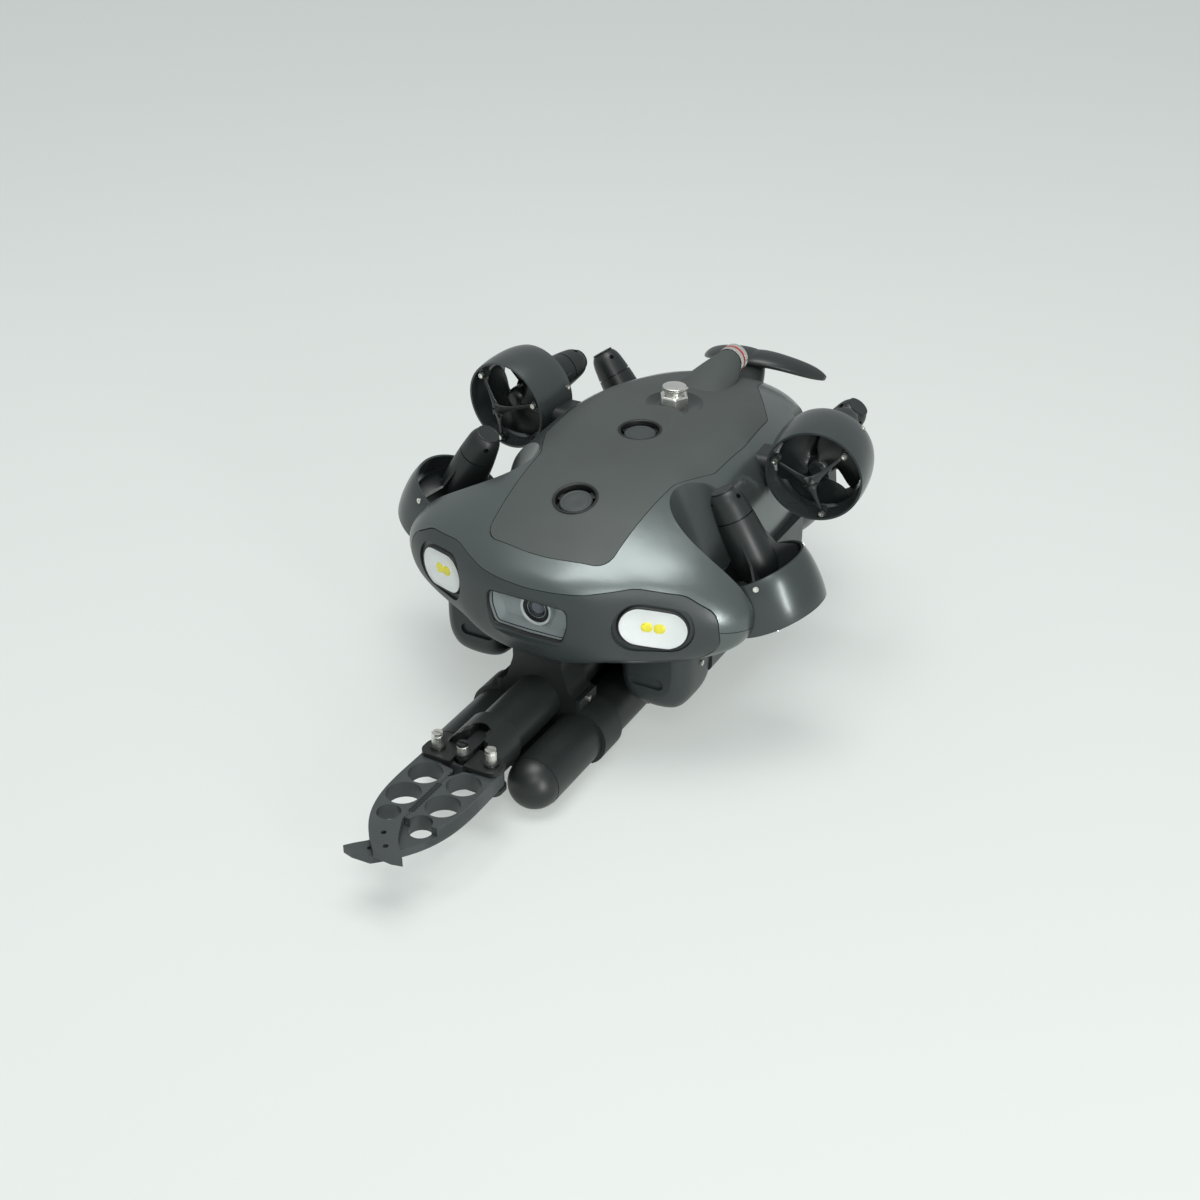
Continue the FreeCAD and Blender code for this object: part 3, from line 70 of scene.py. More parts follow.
class Finish:
    """A material built up from noise layers on the piece's own coordinates."""

    def __init__(self, name, colour, rough, metal=0.0, **sockets):
        self.material = bpy.data.materials.new(name)
        self.material.use_nodes = True
        self.tree = self.material.node_tree
        self.shader = self.tree.nodes["Principled BSDF"]
        self.shader.inputs["Base Color"].default_value = (*colour, 1.0)
        self.shader.inputs["Roughness"].default_value = rough
        self.shader.inputs["Metallic"].default_value = metal
        for key, value in sockets.items():
            self.shader.inputs[key.replace("_", " ")].default_value = value
        self.colour, self.rough = colour, rough
        self.place = self.node("ShaderNodeTexCoord").outputs["Object"]
        self.height = None

    def node(self, kind, **values):
        """Adds a shader node with its settings."""
        made = self.tree.nodes.new(kind)
        for key, value in values.items():
            setattr(made, key, value)
        return made

    def link(self, source, target):
        """Joins an output socket to an input socket."""
        self.tree.links.new(source, target)

    def noise(self, scale, detail=3.0, stretch=None):
        """Soft noise of a scale per metre, optionally stretched along an axis."""
        texture = self.node("ShaderNodeTexNoise")
        texture.inputs["Scale"].default_value = scale
        texture.inputs["Detail"].default_value = detail
        place = self.place
        if stretch:
            mapping = self.node("ShaderNodeMapping")
            mapping.inputs["Scale"].default_value = stretch
            self.link(place, mapping.inputs["Vector"])
            place = mapping.outputs["Vector"]
        self.link(place, texture.inputs["Vector"])
        return texture.outputs["Fac"]

    def ramp(self, factor, low, high, start=DRIFT_START, end=DRIFT_END):
        """Maps a factor between two colours or two grey levels."""
        made = self.node("ShaderNodeValToRGB")
        first, last = made.color_ramp.elements
        first.position, last.position = start, end
        first.color = (*low, 1.0) if hasattr(low, "__len__") else (low, low, low, 1.0)
        last.color = (*high, 1.0) if hasattr(high, "__len__") else (high, high, high, 1.0)
        self.link(factor, made.inputs["Fac"])
        return made.outputs["Color"]

    def mottle(self, scale, spread, **options):
        """Colour drifts by a share either way over soft patches."""
        low = tuple(c * (1.0 - spread) for c in self.colour)
        high = tuple(min(1.0, c * (1.0 + spread)) for c in self.colour)
        self.link(self.ramp(self.noise(scale, **options), low, high), self.shader.inputs["Base Color"])
        return self

    def smears(self, scale, spread, **options):
        """Roughness drifts as on a handled surface."""
        low, high = max(0.02, self.rough - spread), min(1.0, self.rough + spread)
        self.link(self.ramp(self.noise(scale, **options), low, high), self.shader.inputs["Roughness"])
        return self

    def grain(self, scale, depth, **options):
        """Fine relief of a depth in metres."""
        bump = self.node("ShaderNodeBump")
        bump.inputs["Strength"].default_value = 1.0
        bump.inputs["Distance"].default_value = depth
        self.link(self.noise(scale, **options), bump.inputs["Height"])
        if self.height is not None:
            self.link(self.height, bump.inputs["Normal"])
        self.height = bump.outputs["Normal"]
        self.link(self.height, self.shader.inputs["Normal"])
        return self

    def painted_edge_highlight(self, colour, amount):
        """Convex edges turn paler: a painted highlight along them."""
        shape = self.node("ShaderNodeNewGeometry").outputs["Pointiness"]
        mask = self.ramp(shape, 0.0, amount, EDGE_START, EDGE_END)
        mix = self.node("ShaderNodeMix", data_type="RGBA")
        base = self.shader.inputs["Base Color"]
        if base.is_linked:
            self.link(base.links[0].from_socket, mix.inputs[6])
        else:
            mix.inputs[6].default_value = (*self.colour, 1.0)
        mix.inputs[7].default_value = (*colour, 1.0)
        self.link(mask, mix.inputs[0])
        self.link(mix.outputs[2], base)
        return self


def paint(name, colour, rough, metal):
    """Satin metallic paint under a thin clear coat, with a slight orange peel."""
    finish = Finish(name, colour, rough, metal, Coat_Weight=COAT_WEIGHT,
                    Coat_Roughness=COAT_ROUGHNESS)
    return finish.mottle(9.0, 0.07).smears(14.0, 0.05).grain(420.0, 0.00003).grain(2600.0, 0.00001)


def moulded(name, colour, rough, grain=0.00004, scale=1500.0):
    """Matt moulded plastic with a fine spark-eroded grain."""
    finish = Finish(name, colour, rough, 0.0, Specular_IOR_Level=0.45)
    return finish.mottle(12.0, 0.10).smears(22.0, 0.06).grain(scale, grain)


def turned_steel(name, colour, rough, stretch):
    """Bright steel with the fine lines of the lathe."""
    finish = Finish(name, colour, rough, 1.0)
    return finish.mottle(60.0, 0.06).smears(90.0, 0.05).grain(2600.0, 0.000004, stretch=stretch)


def build_finishes():
    """One finish for each kind of surface on the vehicle."""
    return {
        "shell": paint("shell_paint", (0.112, 0.132, 0.128), 0.33, 0.78),
        "duct": paint("duct_paint", (0.048, 0.058, 0.057), 0.30, 0.50),
        "band": moulded("band_plastic", (0.027, 0.035, 0.034), 0.40),
        "cover": moulded("cover_plastic", (0.044, 0.053, 0.049), 0.58, 0.00006, 1900.0),
        "fin": moulded("fin_plastic", (0.017, 0.021, 0.020), 0.40),
        "pod": moulded("pod_plastic", (0.020, 0.026, 0.026), 0.36),
        "nacelle": moulded("nacelle_plastic", (0.0095, 0.0125, 0.0118), 0.42, 0.00002),
        "propeller": moulded("propeller_plastic", (0.0095, 0.0125, 0.012), 0.30, 0.00001),
        "tube": moulded("tube_anodised", (0.0085, 0.0110, 0.0102), 0.38, 0.00002, 2400.0),
        "fork": moulded("fork_anodised", (0.0055, 0.0072, 0.0066), 0.46, 0.00002, 2400.0),
        "strap": moulded("strap_plastic", (0.0100, 0.0130, 0.0122), 0.48),
        # near-black plastic of the port sockets; the tooth-gap and port-notch strips in it are painted shade
        "socket": moulded("socket_plastic", (0.0030, 0.0038, 0.0036), 0.50),
        "cap": moulded("cap_plastic", (0.034, 0.042, 0.040), 0.50, 0.00005, 1900.0),
        "barrel": moulded("barrel_plastic", (0.0075, 0.0090, 0.0090), 0.45),
        "liner": moulded("dish_plastic", (0.018, 0.023, 0.021), 0.30, 0.00002),
        "rubber": moulded("gasket_rubber", (0.0055, 0.0068, 0.0066), 0.55, 0.00001),
        "plate": moulded("camera_plate_plastic", (0.40, 0.44, 0.44), 0.38, 0.00001),
        "bezel": moulded("camera_bezel_plastic", (0.62, 0.66, 0.66), 0.30, 0.00001),
        # the jaws' paler convex edges are a painted highlight
        "jaw": Finish("jaw_anodised", (0.036, 0.044, 0.044), 0.42, 0.45)
        .mottle(30.0, 0.12).smears(50.0, 0.06).grain(1400.0, 0.00002)
        .painted_edge_highlight((0.10, 0.11, 0.11), 0.35),
        "steel": turned_steel("turned_steel", (0.74, 0.74, 0.69), 0.30, (1.0, 1.0, 9.0)),
        "canister": turned_steel("canister_metal", (0.22, 0.24, 0.25), 0.35, (1.0, 9.0, 1.0)),
        "ring": moulded("ring_red_plastic", (0.36, 0.020, 0.022), 0.38, 0.00001),
        "bowl": Finish("lamp_bowl_white", (0.90, 0.92, 0.91), 0.32, 0.0)
        .mottle(40.0, 0.02).grain(800.0, 0.00001),
        "emitter": Finish("emitter_yellow", (0.90, 0.80, 0.06), 0.35, 0.0)
        .mottle(900.0, 0.10).grain(2500.0, 0.00002),
        "window": Finish("window_glass", (0.98, 0.99, 0.99), 0.02, 0.0, Transmission_Weight=1.0, IOR=1.04)
        .smears(30.0, 0.01),
        "lens": Finish("lens_glass_coated", (0.55, 0.58, 0.66), 0.03, 0.0, Transmission_Weight=1.0, IOR=1.5)
        .smears(60.0, 0.01),
    }


FINISHES = build_finishes()
KIND_FINISH = {"duct": "duct", "motor": "nacelle", "propeller": "propeller"}
NODE_FINISH = {
    "upper_shell": "shell", "lower_shell": "shell", "nose_band": "band", "back_cover": "cover",
    "mid_pylons": "nacelle", "tail_fluke": "fin", "battery_pod_port": "pod", "battery_pod_starboard": "pod",
    "pressure_canister": "canister", "canister_cradles": "strap", "camera_window": "window",
    "lamp_windows": "window", "camera_plate": "plate", "lens_barrel": "barrel", "camera_housing": "barrel",
    "lamp_housings": "barrel", "lens_ring": "bezel", "lens_glass": "lens", "lamp_reflectors": "bowl",
    "lamp_emitters": "emitter", "port_sockets": "socket", "port_cap_front": "cap", "port_cap_rear": "cap",
    "vent_hex": "steel", "vent_cap": "steel", "coupling_stub": "steel", "coupling_nut": "steel",
    "guard_screws": "steel", "clamp_screws": "steel", "pivot_pins": "steel", "coupling_ring": "ring",
    "duct_guards": "nacelle", "arm_tube": "tube", "ballast_tubes": "tube", "tube_domes": "tube",
    "wrist_collar": "tube", "jaw_fork": "fork", "drive_rod": "tube", "arm_saddles": "tube",
    "clamp_straps": "strap", "jaw_starboard": "jaw", "jaw_port": "jaw",
}


def dress_nodes():
    """Every frame node takes its finish."""
    for name, node in NODES.items():
        key = NODE_FINISH.get(name) or KIND_FINISH[name.split("_")[0]]
        node.data.materials.clear()
        node.data.materials.append(FINISHES[key].material)


# ---- surfaces -------------------------------------------------------------------------
SAME_POINT = 0.000002   # closer points are one, m
NO_EDGE = 0.000001      # shorter edges are dissolved, m
SHARP_ANGLE = math.radians(38.0)
RIM_BAND = 0.1 * MM     # a face's rim lies this near its highest point
RIM_STEP = 0.02 * MM
STRAIGHT_PACE = 6.0     # how fast a stadium's path runs along its straights
CORNER_POWER = 0.35     # the lower, the squarer a rounded rectangle


def woven(rows, columns, close_u, close_v, first):
    """The four corners of each cell of a grid whose first point has a given number."""
    index = first + np.arange(rows * columns).reshape(rows, columns)
    if close_u:
        index = np.vstack([index, index[:1]])
    if close_v:
        index = np.hstack([index, index[:, :1]])
    corners = [index[:-1, :-1], index[1:, :-1], index[1:, 1:], index[:-1, 1:]]
    return np.stack(corners, -1).reshape(-1, 4)


def surface(name, grids, finish, body, close_u=False, close_v=False):
    """One or more grids of points (rows, columns, 3) as one smooth piece that rides on a body."""
    grids = [grids] if isinstance(grids, np.ndarray) else grids
    starts = np.cumsum([0] + [grid.shape[0] * grid.shape[1] for grid in grids])
    quads = np.vstack([woven(grid.shape[0], grid.shape[1], close_u, close_v, first)
                       for grid, first in zip(grids, starts)])
    points = np.vstack([grid.reshape(-1, 3) for grid in grids])
    mesh = bpy.data.meshes.new(name)
    mesh.from_pydata(points.tolist(), [], quads.tolist())
    return finished(name, mesh, finish, body)


def finished(name, mesh, finish, body):
    """Merges doubles, turns faces outwards, and hangs the mesh on its body."""
    shape = bmesh.new()
    shape.from_mesh(mesh)
    bmesh.ops.remove_doubles(shape, verts=shape.verts, dist=SAME_POINT)
    bmesh.ops.dissolve_degenerate(shape, edges=shape.edges, dist=NO_EDGE)
    bmesh.ops.recalc_face_normals(shape, faces=shape.faces)
    shape.to_mesh(mesh)
    shape.free()
    mesh.shade_smooth()
    mesh.set_sharp_from_angle(angle=SHARP_ANGLE)
    mesh.materials.append(FINISHES[finish].material)
    piece = bpy.data.objects.new(name, mesh)
    bpy.context.scene.collection.objects.link(piece)
    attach(piece, body)
    return piece


def capped(grid):
    """A grid of loops with its first and last loop drawn together at their middles."""
    first, last = (np.broadcast_to(grid[k].mean(0), grid[k].shape)[None] for k in (0, -1))
    return np.vstack([first, grid, last])


def unit(vector):
    """The vector at a length of one."""
    vector = np.asarray(vector, float)
    return vector / np.linalg.norm(vector)


def across(axis):
    """Two unit vectors that make a right-handed frame with the axis."""
    helper = (0.0, 0.0, 1.0) if abs(axis[2]) < 0.9 else (0.0, 1.0, 0.0)
    first = unit(np.cross(helper, axis))
    return first, np.cross(axis, first)


def eased(profile, radius, steps=4):
    """A closed profile whose corners are rounded by quadratic arcs of about the radius."""
    points = np.asarray(profile, float)
    before, after = np.roll(points, 1, 0) - points, np.roll(points, -1, 0) - points
    lead = np.linalg.norm(before, axis=1, keepdims=True)
    tail = np.linalg.norm(after, axis=1, keepdims=True)
    start = points + before / lead * np.minimum(radius, lead * 0.45)
    end = points + after / tail * np.minimum(radius, tail * 0.45)
    t = np.linspace(0.0, 1.0, steps)[None, :, None]
    arcs = (1 - t) ** 2 * start[:, None] + 2 * t * (1 - t) * points[:, None] + t ** 2 * end[:, None]
    return arcs.reshape(-1, 2)


def turned(name, profile, origin, axis, finish, body, ease, ribs=0, depth=0.0):
    """A closed profile of (radius, along) in mm carried once round an axis.

    Point = origin + along * axis + radius * (1 - depth * rib) * (cos t * u + sin t * v),
    where rib rises and falls once for each rib.
    """
    line = eased(profile, ease) * MM
    axis = unit(axis)
    u, v = across(axis)
    steps = max(72, ribs * 6)
    t = np.linspace(0.0, TURN, steps, endpoint=False)
    rib = 0.5 + 0.5 * np.cos(ribs * t) if ribs else np.zeros(steps)
    crest = line[:, 0] > line[:, 0].max() - 0.4 * MM
    radius = line[:, 0][:, None] - depth * MM * rib[None, :] * crest[:, None]
    spoke = np.cos(t)[:, None] * u + np.sin(t)[:, None] * v
    points = origin + line[:, 1][:, None, None] * axis + radius[..., None] * spoke[None]
    return surface(name, points, finish, body, True, True)


def carried(name, path, section, outward, finish, body):
    """A closed section of (side, rise) in mm carried round a closed flat path.

    The side runs away from the path's middle in its plane, the rise along the plane's normal:
    point = path + side * away + rise * outward.
    """
    outward = unit(outward)
    tangent = np.roll(path, -1, 0) - np.roll(path, 1, 0)
    tangent /= np.linalg.norm(tangent, axis=1, keepdims=True)
    away = np.cross(tangent, outward)
    away *= np.sign(np.sum(away * (path - path.mean(0)), axis=1).mean())
    line = np.asarray(section, float) * MM
    points = path[None] + line[:, 0][:, None, None] * away[None] + line[:, 1][:, None, None] * outward
    return surface(name, points, finish, body, True, True)


def node_points(name, side=0.0):
    """A node's corner points, on one side of the centre plane if a side is given."""
    mesh = NODES[name].data
    points = np.empty(len(mesh.vertices) * 3)
    mesh.vertices.foreach_get("co", points)
    points = points.reshape(-1, 3)
    return points[points[:, 0] * side > 0] if side else points


def flat_normal(points):
    """The direction in which a thin plate is thinnest, turned to the nose."""
    normal = np.linalg.svd(points - points.mean(0), full_matrices=False)[2][-1]
    return normal * -np.sign(normal[1])


def face_loop(points, normal, count=180):
    """The outline of a plate's outer face, sorted round its middle and evenly spaced."""
    height = points @ normal
    rim = points[height > height.max() - RIM_BAND]
    u, v = across(normal)
    middle = 0.5 * (rim.max(0) + rim.min(0))
    turn = np.arctan2((rim - middle) @ v, (rim - middle) @ u)
    rim = rim[np.argsort(turn)]
    rim = rim[np.r_[True, np.linalg.norm(np.diff(rim, axis=0), axis=1) > RIM_STEP]]
    closed = np.vstack([rim, rim[:1]])
    run = np.r_[0.0, np.cumsum(np.linalg.norm(np.diff(closed, axis=0), axis=1))]
    even = np.linspace(0.0, run[-1], count, endpoint=False)
    return np.stack([np.interp(even, run, closed[:, k]) for k in range(3)], 1)


def shrunk(path, step):
    """A closed path drawn in towards its middle by a step in mm."""
    middle = path.mean(0)
    reach = np.linalg.norm(path - middle, axis=1, keepdims=True)
    return middle + (path - middle) * (1.0 - step * MM / reach)


def stadium_path(width, height, middle, u, v, count=96):
    """A closed path of two half circles joined by straights, in mm, spread by the turn angle."""
    t = np.linspace(0.0, TURN, count, endpoint=False)
    straight = np.clip(STRAIGHT_PACE * np.cos(t), -1.0, 1.0)
    side = 0.5 * height * np.cos(t) + 0.5 * (width - height) * straight
    rise = 0.5 * height * np.sin(t)
    return middle + MM * (side[:, None] * u + rise[:, None] * v)


def box_path(width, height, middle, u, v, count=96):
    """A closed rounded rectangle: a low power of cosine and sine gives its squared corners."""
    t = np.linspace(0.0, TURN, count, endpoint=False)
    side = 0.5 * width * np.sign(np.cos(t)) * np.abs(np.cos(t)) ** CORNER_POWER
    rise = 0.5 * height * np.sign(np.sin(t)) * np.abs(np.sin(t)) ** CORNER_POWER
    return middle + MM * (side[:, None] * u + rise[:, None] * v)


# ---- camera and lamps -------------------------------------------------------------------
# Profiles are in mm: (side, rise) for what follows a rim, (radius, along) for what is turned.
PLATE_DEPTH = 15.0      # from the window's face to the camera's back plate
PLATE_THICKNESS = 1.5
LENS_STAND = 4.0        # the lens ring stands this far ahead of the plate
FRAME_INSET, FRAME_DEPTH = 1.5, 4.4
CAMERA_GASKET = [(-1.3, -0.2), (0.15, -0.2), (0.15, 1.3), (-0.5, 1.3)]
FRAME_LINE = [(-0.3, -0.2), (0.35, -0.2), (0.35, 0.3), (-0.3, 0.3)]
TUNNEL = [(0.2, 2.9), (1.0, 2.9), (1.15, 4.4), (1.9, 4.7), (2.1, 13.6), (2.2, PLATE_DEPTH),
          (0.2, PLATE_DEPTH)]
LENS_RING = [(10.3, 0.4), (11.0, -0.5), (12.1, -0.3), (12.4, 0.3), (12.4, 4.2), (10.3, 4.2)]
LENS_STEPS = [(10.4, 0.9), (8.8, 0.9), (8.6, 1.6), (7.6, 1.6), (7.4, 2.4), (6.2, 2.4), (6.0, 3.2),
              (4.4, 3.2), (4.2, 4.1), (10.4, 4.1)]
LENS_DOME = [(0.02, 0.2), (3.0, 0.35), (5.6, 0.8), (7.4, 1.4), (7.4, 2.1), (5.4, 2.3), (0.02, 2.6)]
LENS_TRIM = [(6.6, 1.9), (7.2, 1.9), (7.2, 2.3), (6.6, 2.3)]


def build_camera_trim():
    """Gasket, tunnel and plate of the camera, and the lens set deep in it."""
    points = node_points("camera_window")
    normal = flat_normal(points)
    loop = face_loop(points, normal)
    back = -normal * MM
    carried("camera_gasket", loop, eased(CAMERA_GASKET, 0.35), normal, "rubber", "hull")
    plate = [loop + back * PLATE_DEPTH, loop + back * (PLATE_DEPTH + PLATE_THICKNESS)]
    made = surface("camera_back_plate", capped(np.stack(plate)), "plate", "hull", False, True)
    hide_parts("camera_plate")
    tunnel = [shrunk(loop, step) + back * deep for step, deep in TUNNEL]
    surface("camera_tunnel", np.stack(tunnel), "plate", "hull", True, True)
    frame_path = shrunk(loop, FRAME_INSET) + back * FRAME_DEPTH
    carried("camera_frame_line", frame_path, eased(FRAME_LINE, 0.08), normal, "rubber", "hull")

    height = (0.5 * (loop.max(0) + loop.min(0)))[2]
    middle = np.array((0.0, loop[:, 1].mean(), height)) + back * (PLATE_DEPTH - LENS_STAND)
    inward = -normal
    ring = turned("lens_bezel", LENS_RING, middle, inward, "bezel", "hull", 0.3)
    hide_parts("lens_ring")
    barrel = turned("lens_steps", LENS_STEPS, middle, inward, "barrel", "hull", 0.08)
    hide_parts("lens_barrel")
    glass = turned("lens_front_element", LENS_DOME, middle, inward, "lens", "hull", 0.2)
    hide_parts("lens_glass")
    turned("lens_inner_ring", LENS_TRIM, middle, inward, "bezel", "hull", 0.1)


LAMP_ROLL = math.radians(7.0)
LAMP_LIFT = 0.2         # the lamp's seat above the window's face
LAMP_SEAT = (46.8, 28.8)
LAMP_GASKET = [(-0.2, 0.0), (1.5, 0.0), (1.2, 1.9), (0.7, 2.5), (-0.2, 2.5)]
LAMP_BOWL = [(stadium_path, 46.6, 28.6, 0.05), (stadium_path, 46.6, 28.6, 2.0),
             (stadium_path, 45.2, 27.2, 2.0), (stadium_path, 44.6, 26.6, 1.75),
             (box_path, 21.0, 9.6, 0.5), (box_path, 20.0, 8.8, 0.45)]
LAMP_COVER = [(46.4, 28.4, 2.1), (46.4, 28.4, 2.3), (45.6, 27.6, 2.45)]
EMITTER = [(8.0, 7.2, 0.4), (8.0, 7.2, 1.0), (6.8, 6.0, 1.5), (3.8, 3.2, 1.7)]
EMITTER_OFFSET = 4.3


def lamp_axes(side):
    """Middle of a lamp's seat, its outboard axis, the axis across it and its outward normal."""
    points = node_points("lamp_windows", side)
    normal = flat_normal(points)
    rim = face_loop(points, normal)
    flat = np.array((side, 0.0, 0.0)) - normal * side * normal[0]
    flat = unit(flat)
    up = unit(np.cross(normal, flat)) * side
    up *= np.sign(up[2])
    u = flat * math.cos(LAMP_ROLL) - up * math.sin(LAMP_ROLL)
    v = up * math.cos(LAMP_ROLL) + flat * math.sin(LAMP_ROLL)
    return 0.5 * (rim.max(0) + rim.min(0)) + normal * LAMP_LIFT * MM, u, v, normal


def build_lamp_trim():
    """Gasket, clear cover, four-sided white bowl and two emitters of each lamp."""
    for side_name, side in SIDES.items():
        seat, u, v, normal = lamp_axes(side)
        out = normal * MM
        bowl = [path(width, height, seat + out * level, u, v)
                for path, width, height, level in LAMP_BOWL]
        made = surface(f"lamp_bowl_{side_name}", capped(np.stack(bowl)), "bowl", "hull", False, True)
        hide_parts("lamp_reflectors")
        carried(f"lamp_gasket_{side_name}", stadium_path(*LAMP_SEAT, seat, u, v),
                eased(LAMP_GASKET, 0.4), normal, "rubber", "hull")
        cover = [stadium_path(width, height, seat + out * level, u, v)
                 for width, height, level in LAMP_COVER]
        made = surface(f"lamp_cover_{side_name}", capped(np.stack(cover)), "window", "hull", False, True)
        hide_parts("lamp_windows")
        for number, offset in enumerate((-EMITTER_OFFSET, EMITTER_OFFSET)):
            spot = seat + MM * offset * u
            chip = [stadium_path(width, height, spot + out * level, u, v, 48)
                    for width, height, level in EMITTER]
            made = surface(f"lamp_emitter_{side_name}_{number + 1}", capped(np.stack(chip)), "emitter",
                           "hull", False, True)
            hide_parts("lamp_emitters")


# ---- back -------------------------------------------------------------------------------
PORT_WELL = [(15.0, 0.28), (15.5, 0.42), (16.2, 0.34), (16.4, 0.0), (15.9, -0.6), (15.9, -7.6),
             (0.01, -7.6), (0.01, -7.0), (14.2, -7.0), (14.2, -0.2)]
PORT_DISC = [(0.01, -2.3), (8.6, -2.35), (9.0, -2.55), (9.6, -2.55), (10.0, -2.35), (11.1, -2.5),
             (11.8, -3.2), (11.8, -6.4), (0.01, -6.4)]
# three black arcs in each port's gap: painted shade for the deep bayonet notches
PORT_NOTCH_SHADE_START = math.radians(35.0)
PORT_NOTCH_SHADE_SPAN = math.radians(34.0)
PORT_NOTCH_SHADE_RADII, PORT_NOTCH_SHADE_LEVELS = (11.4, 13.9), (-4.4, -3.4)


def build_port_trim():
    """Black wells in the cover, the caps that sit deep in them, and three black arcs on each cap that are
    painted shade for the deep bayonet notches.
    """
    for name in ("front", "rear"):
        cap = f"port_cap_{name}"
        joint = JOINTS[f"turn_{cap}"]
        axis = unit(joint["axis"])
        origin = np.array(joint["pos_m"])
        top = origin + axis * ((node_points(cap) - origin) @ axis).max()
        made = turned(f"port_well_{name}", PORT_WELL, top, axis, "socket", "hull", 0.15)
        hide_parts("port_sockets")
        made = turned(f"port_disc_{name}", PORT_DISC, top, axis, "cap", cap, 0.2)
        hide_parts(cap)
        # black arcs riding on the cap: painted shade for the bayonet notches
        for number in range(3):
            start = PORT_NOTCH_SHADE_START + THIRD * number
            notch_shade = bent_block_grid(top, axis, start, PORT_NOTCH_SHADE_SPAN, PORT_NOTCH_SHADE_RADII, PORT_NOTCH_SHADE_LEVELS)
            surface(f"port_lug_{name}_{number + 1}", notch_shade, "socket", cap, True, True)


def bent_block_grid(origin, axis, start, span, radii, levels):
    """A block bent round an axis: its four edges run along an arc that narrows at both ends."""
    u, v = across(axis)
    t = np.linspace(0.0, 1.0, 15)
    ease = np.sqrt(np.clip(1.0 - (2.0 * t - 1.0) ** 8, 0.0, 1.0))
    turn = start + span * t
    spoke = np.cos(turn)[:, None] * u + np.sin(turn)[:, None] * v
    corners = []
    for radius, level in ((0, 0), (1, 0), (1, 1), (0, 1)):
        reach = radii[0] + (radii[1] - radii[0]) * radius * ease
        height = levels[0] + (levels[1] - levels[0]) * level * ease
        corners.append(origin + MM * (reach[:, None] * spoke + height[:, None] * axis))
    return np.stack(corners)


HEX_FLAT = 10.0         # half the distance across the flats
HEX_CHAMFER = 11.1      # the bevels cut the corners back to this radius
HEX_TURN = math.radians(60.0)
NECK = 7.4
VALVE_STACK = [(0.01, 0.1), (NECK, 0.1), (NECK, 2.2), (NECK - 0.5, 2.4), (NECK - 0.5, 2.8), (NECK, 3.0),
               (NECK, 4.0), (8.9, 4.2), (8.9, 5.0), (7.6, 5.2), (7.6, 5.7), (9.0, 5.9), (9.0, 6.7),
               (8.3, 7.0), (0.01, 7.0)]
HOOK_START, HOOK_SPAN = math.radians(-20.0), math.radians(50.0)
HOOK_RADII, HOOK_LEVELS = (7.8, 10.4), (5.1, 6.3)
DISH_LINER = [(10.4, 0.05), (13.6, 0.05), (21.6, 2.35), (21.6, 2.5), (13.6, 0.35), (10.4, 0.35)]


def hexagon_grid(base, height):
    """A bevelled hexagon: flat / cos(turn within a sixth) is its reach, and a row's share draws it in."""
    t = np.linspace(0.0, TURN, 144, endpoint=False)
    sector = np.mod(t + HEX_TURN, TURN / 6.0) - TURN / 12.0
    full = HEX_FLAT / np.cos(sector)
    bevelled = np.minimum(full, HEX_CHAMFER)
    rows = [(bevelled * 0.0, 0.0), (full, 0.0), (full, height - 1.0), (bevelled * 0.985, height - 0.4),
            (bevelled * 0.90, height + 0.3), (bevelled * 0.72, height + 0.3), (bevelled * 0.72, height - 0.6),
            (bevelled * 0.0, height - 0.6)]
    ring = np.cos(t)[:, None] * np.array((1.0, 0, 0)) + np.sin(t)[:, None] * np.array((0, 1.0, 0))
    return np.stack([base + MM * (reach[:, None] * ring + level * UP) for reach, level in rows])


def build_valve_trim():
    """The valve's bevelled hexagon and the grooved steel stack that turns on it."""
    low, high = (np.array(corner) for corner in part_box("vent_hex"))
    joint = JOINTS["turn_vent_cap"]
    base = np.array((joint["pos_m"][0], joint["pos_m"][1], low[2]))
    height = (high[2] - low[2]) / MM
    made = surface("vent_hexagon", hexagon_grid(base, height), "steel", "hull", False, True)
    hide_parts("vent_hex")
    seat = base + UP * height * MM
    made = turned("vent_stack", VALVE_STACK, seat, UP, "steel", "vent_cap", 0.12)
    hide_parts("vent_cap")
    hook = bent_block_grid(seat, UP, HOOK_START, HOOK_SPAN, HOOK_RADII, HOOK_LEVELS)
    surface("vent_hook", hook, "steel", "vent_cap", True, True)
    turned("vent_dish_liner", DISH_LINER, base, UP, "liner", "hull", 0.3)


KNURL_RIBS, KNURL_DEPTH = 40, 0.22
KNURL_BANDS = {"front": (0.6, 4.6), "rear": (7.6, 11.4)}


def build_coupling_trim():
    """Knurled bands of the tether nut."""
    low, high = (np.array(corner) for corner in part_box("coupling_nut"))
    middle = 0.5 * (low + high)
    middle[1] = low[1]
    radius = 500.0 * (high[0] - low[0])
    inner, outer = radius - 0.5, radius + 0.1
    for name, (start, end) in KNURL_BANDS.items():
        band = [(inner, start), (outer, start), (outer, end), (inner, end)]
        turned(f"coupling_knurl_{name}", band, middle, AFT, "steel", "coupling_nut", 0.1, KNURL_RIBS,
               KNURL_DEPTH)


# ---- gripper ----------------------------------------------------------------------------
PIN = 3.8               # radius of the pins
DRIVE_SLEEVE, PIVOT_SLEEVE = -9.6, -10.6        # a sleeve's foot, from its pin's top
SLEEVE_RIBS, SLEEVE_RIB_DEPTH = 36, 0.10


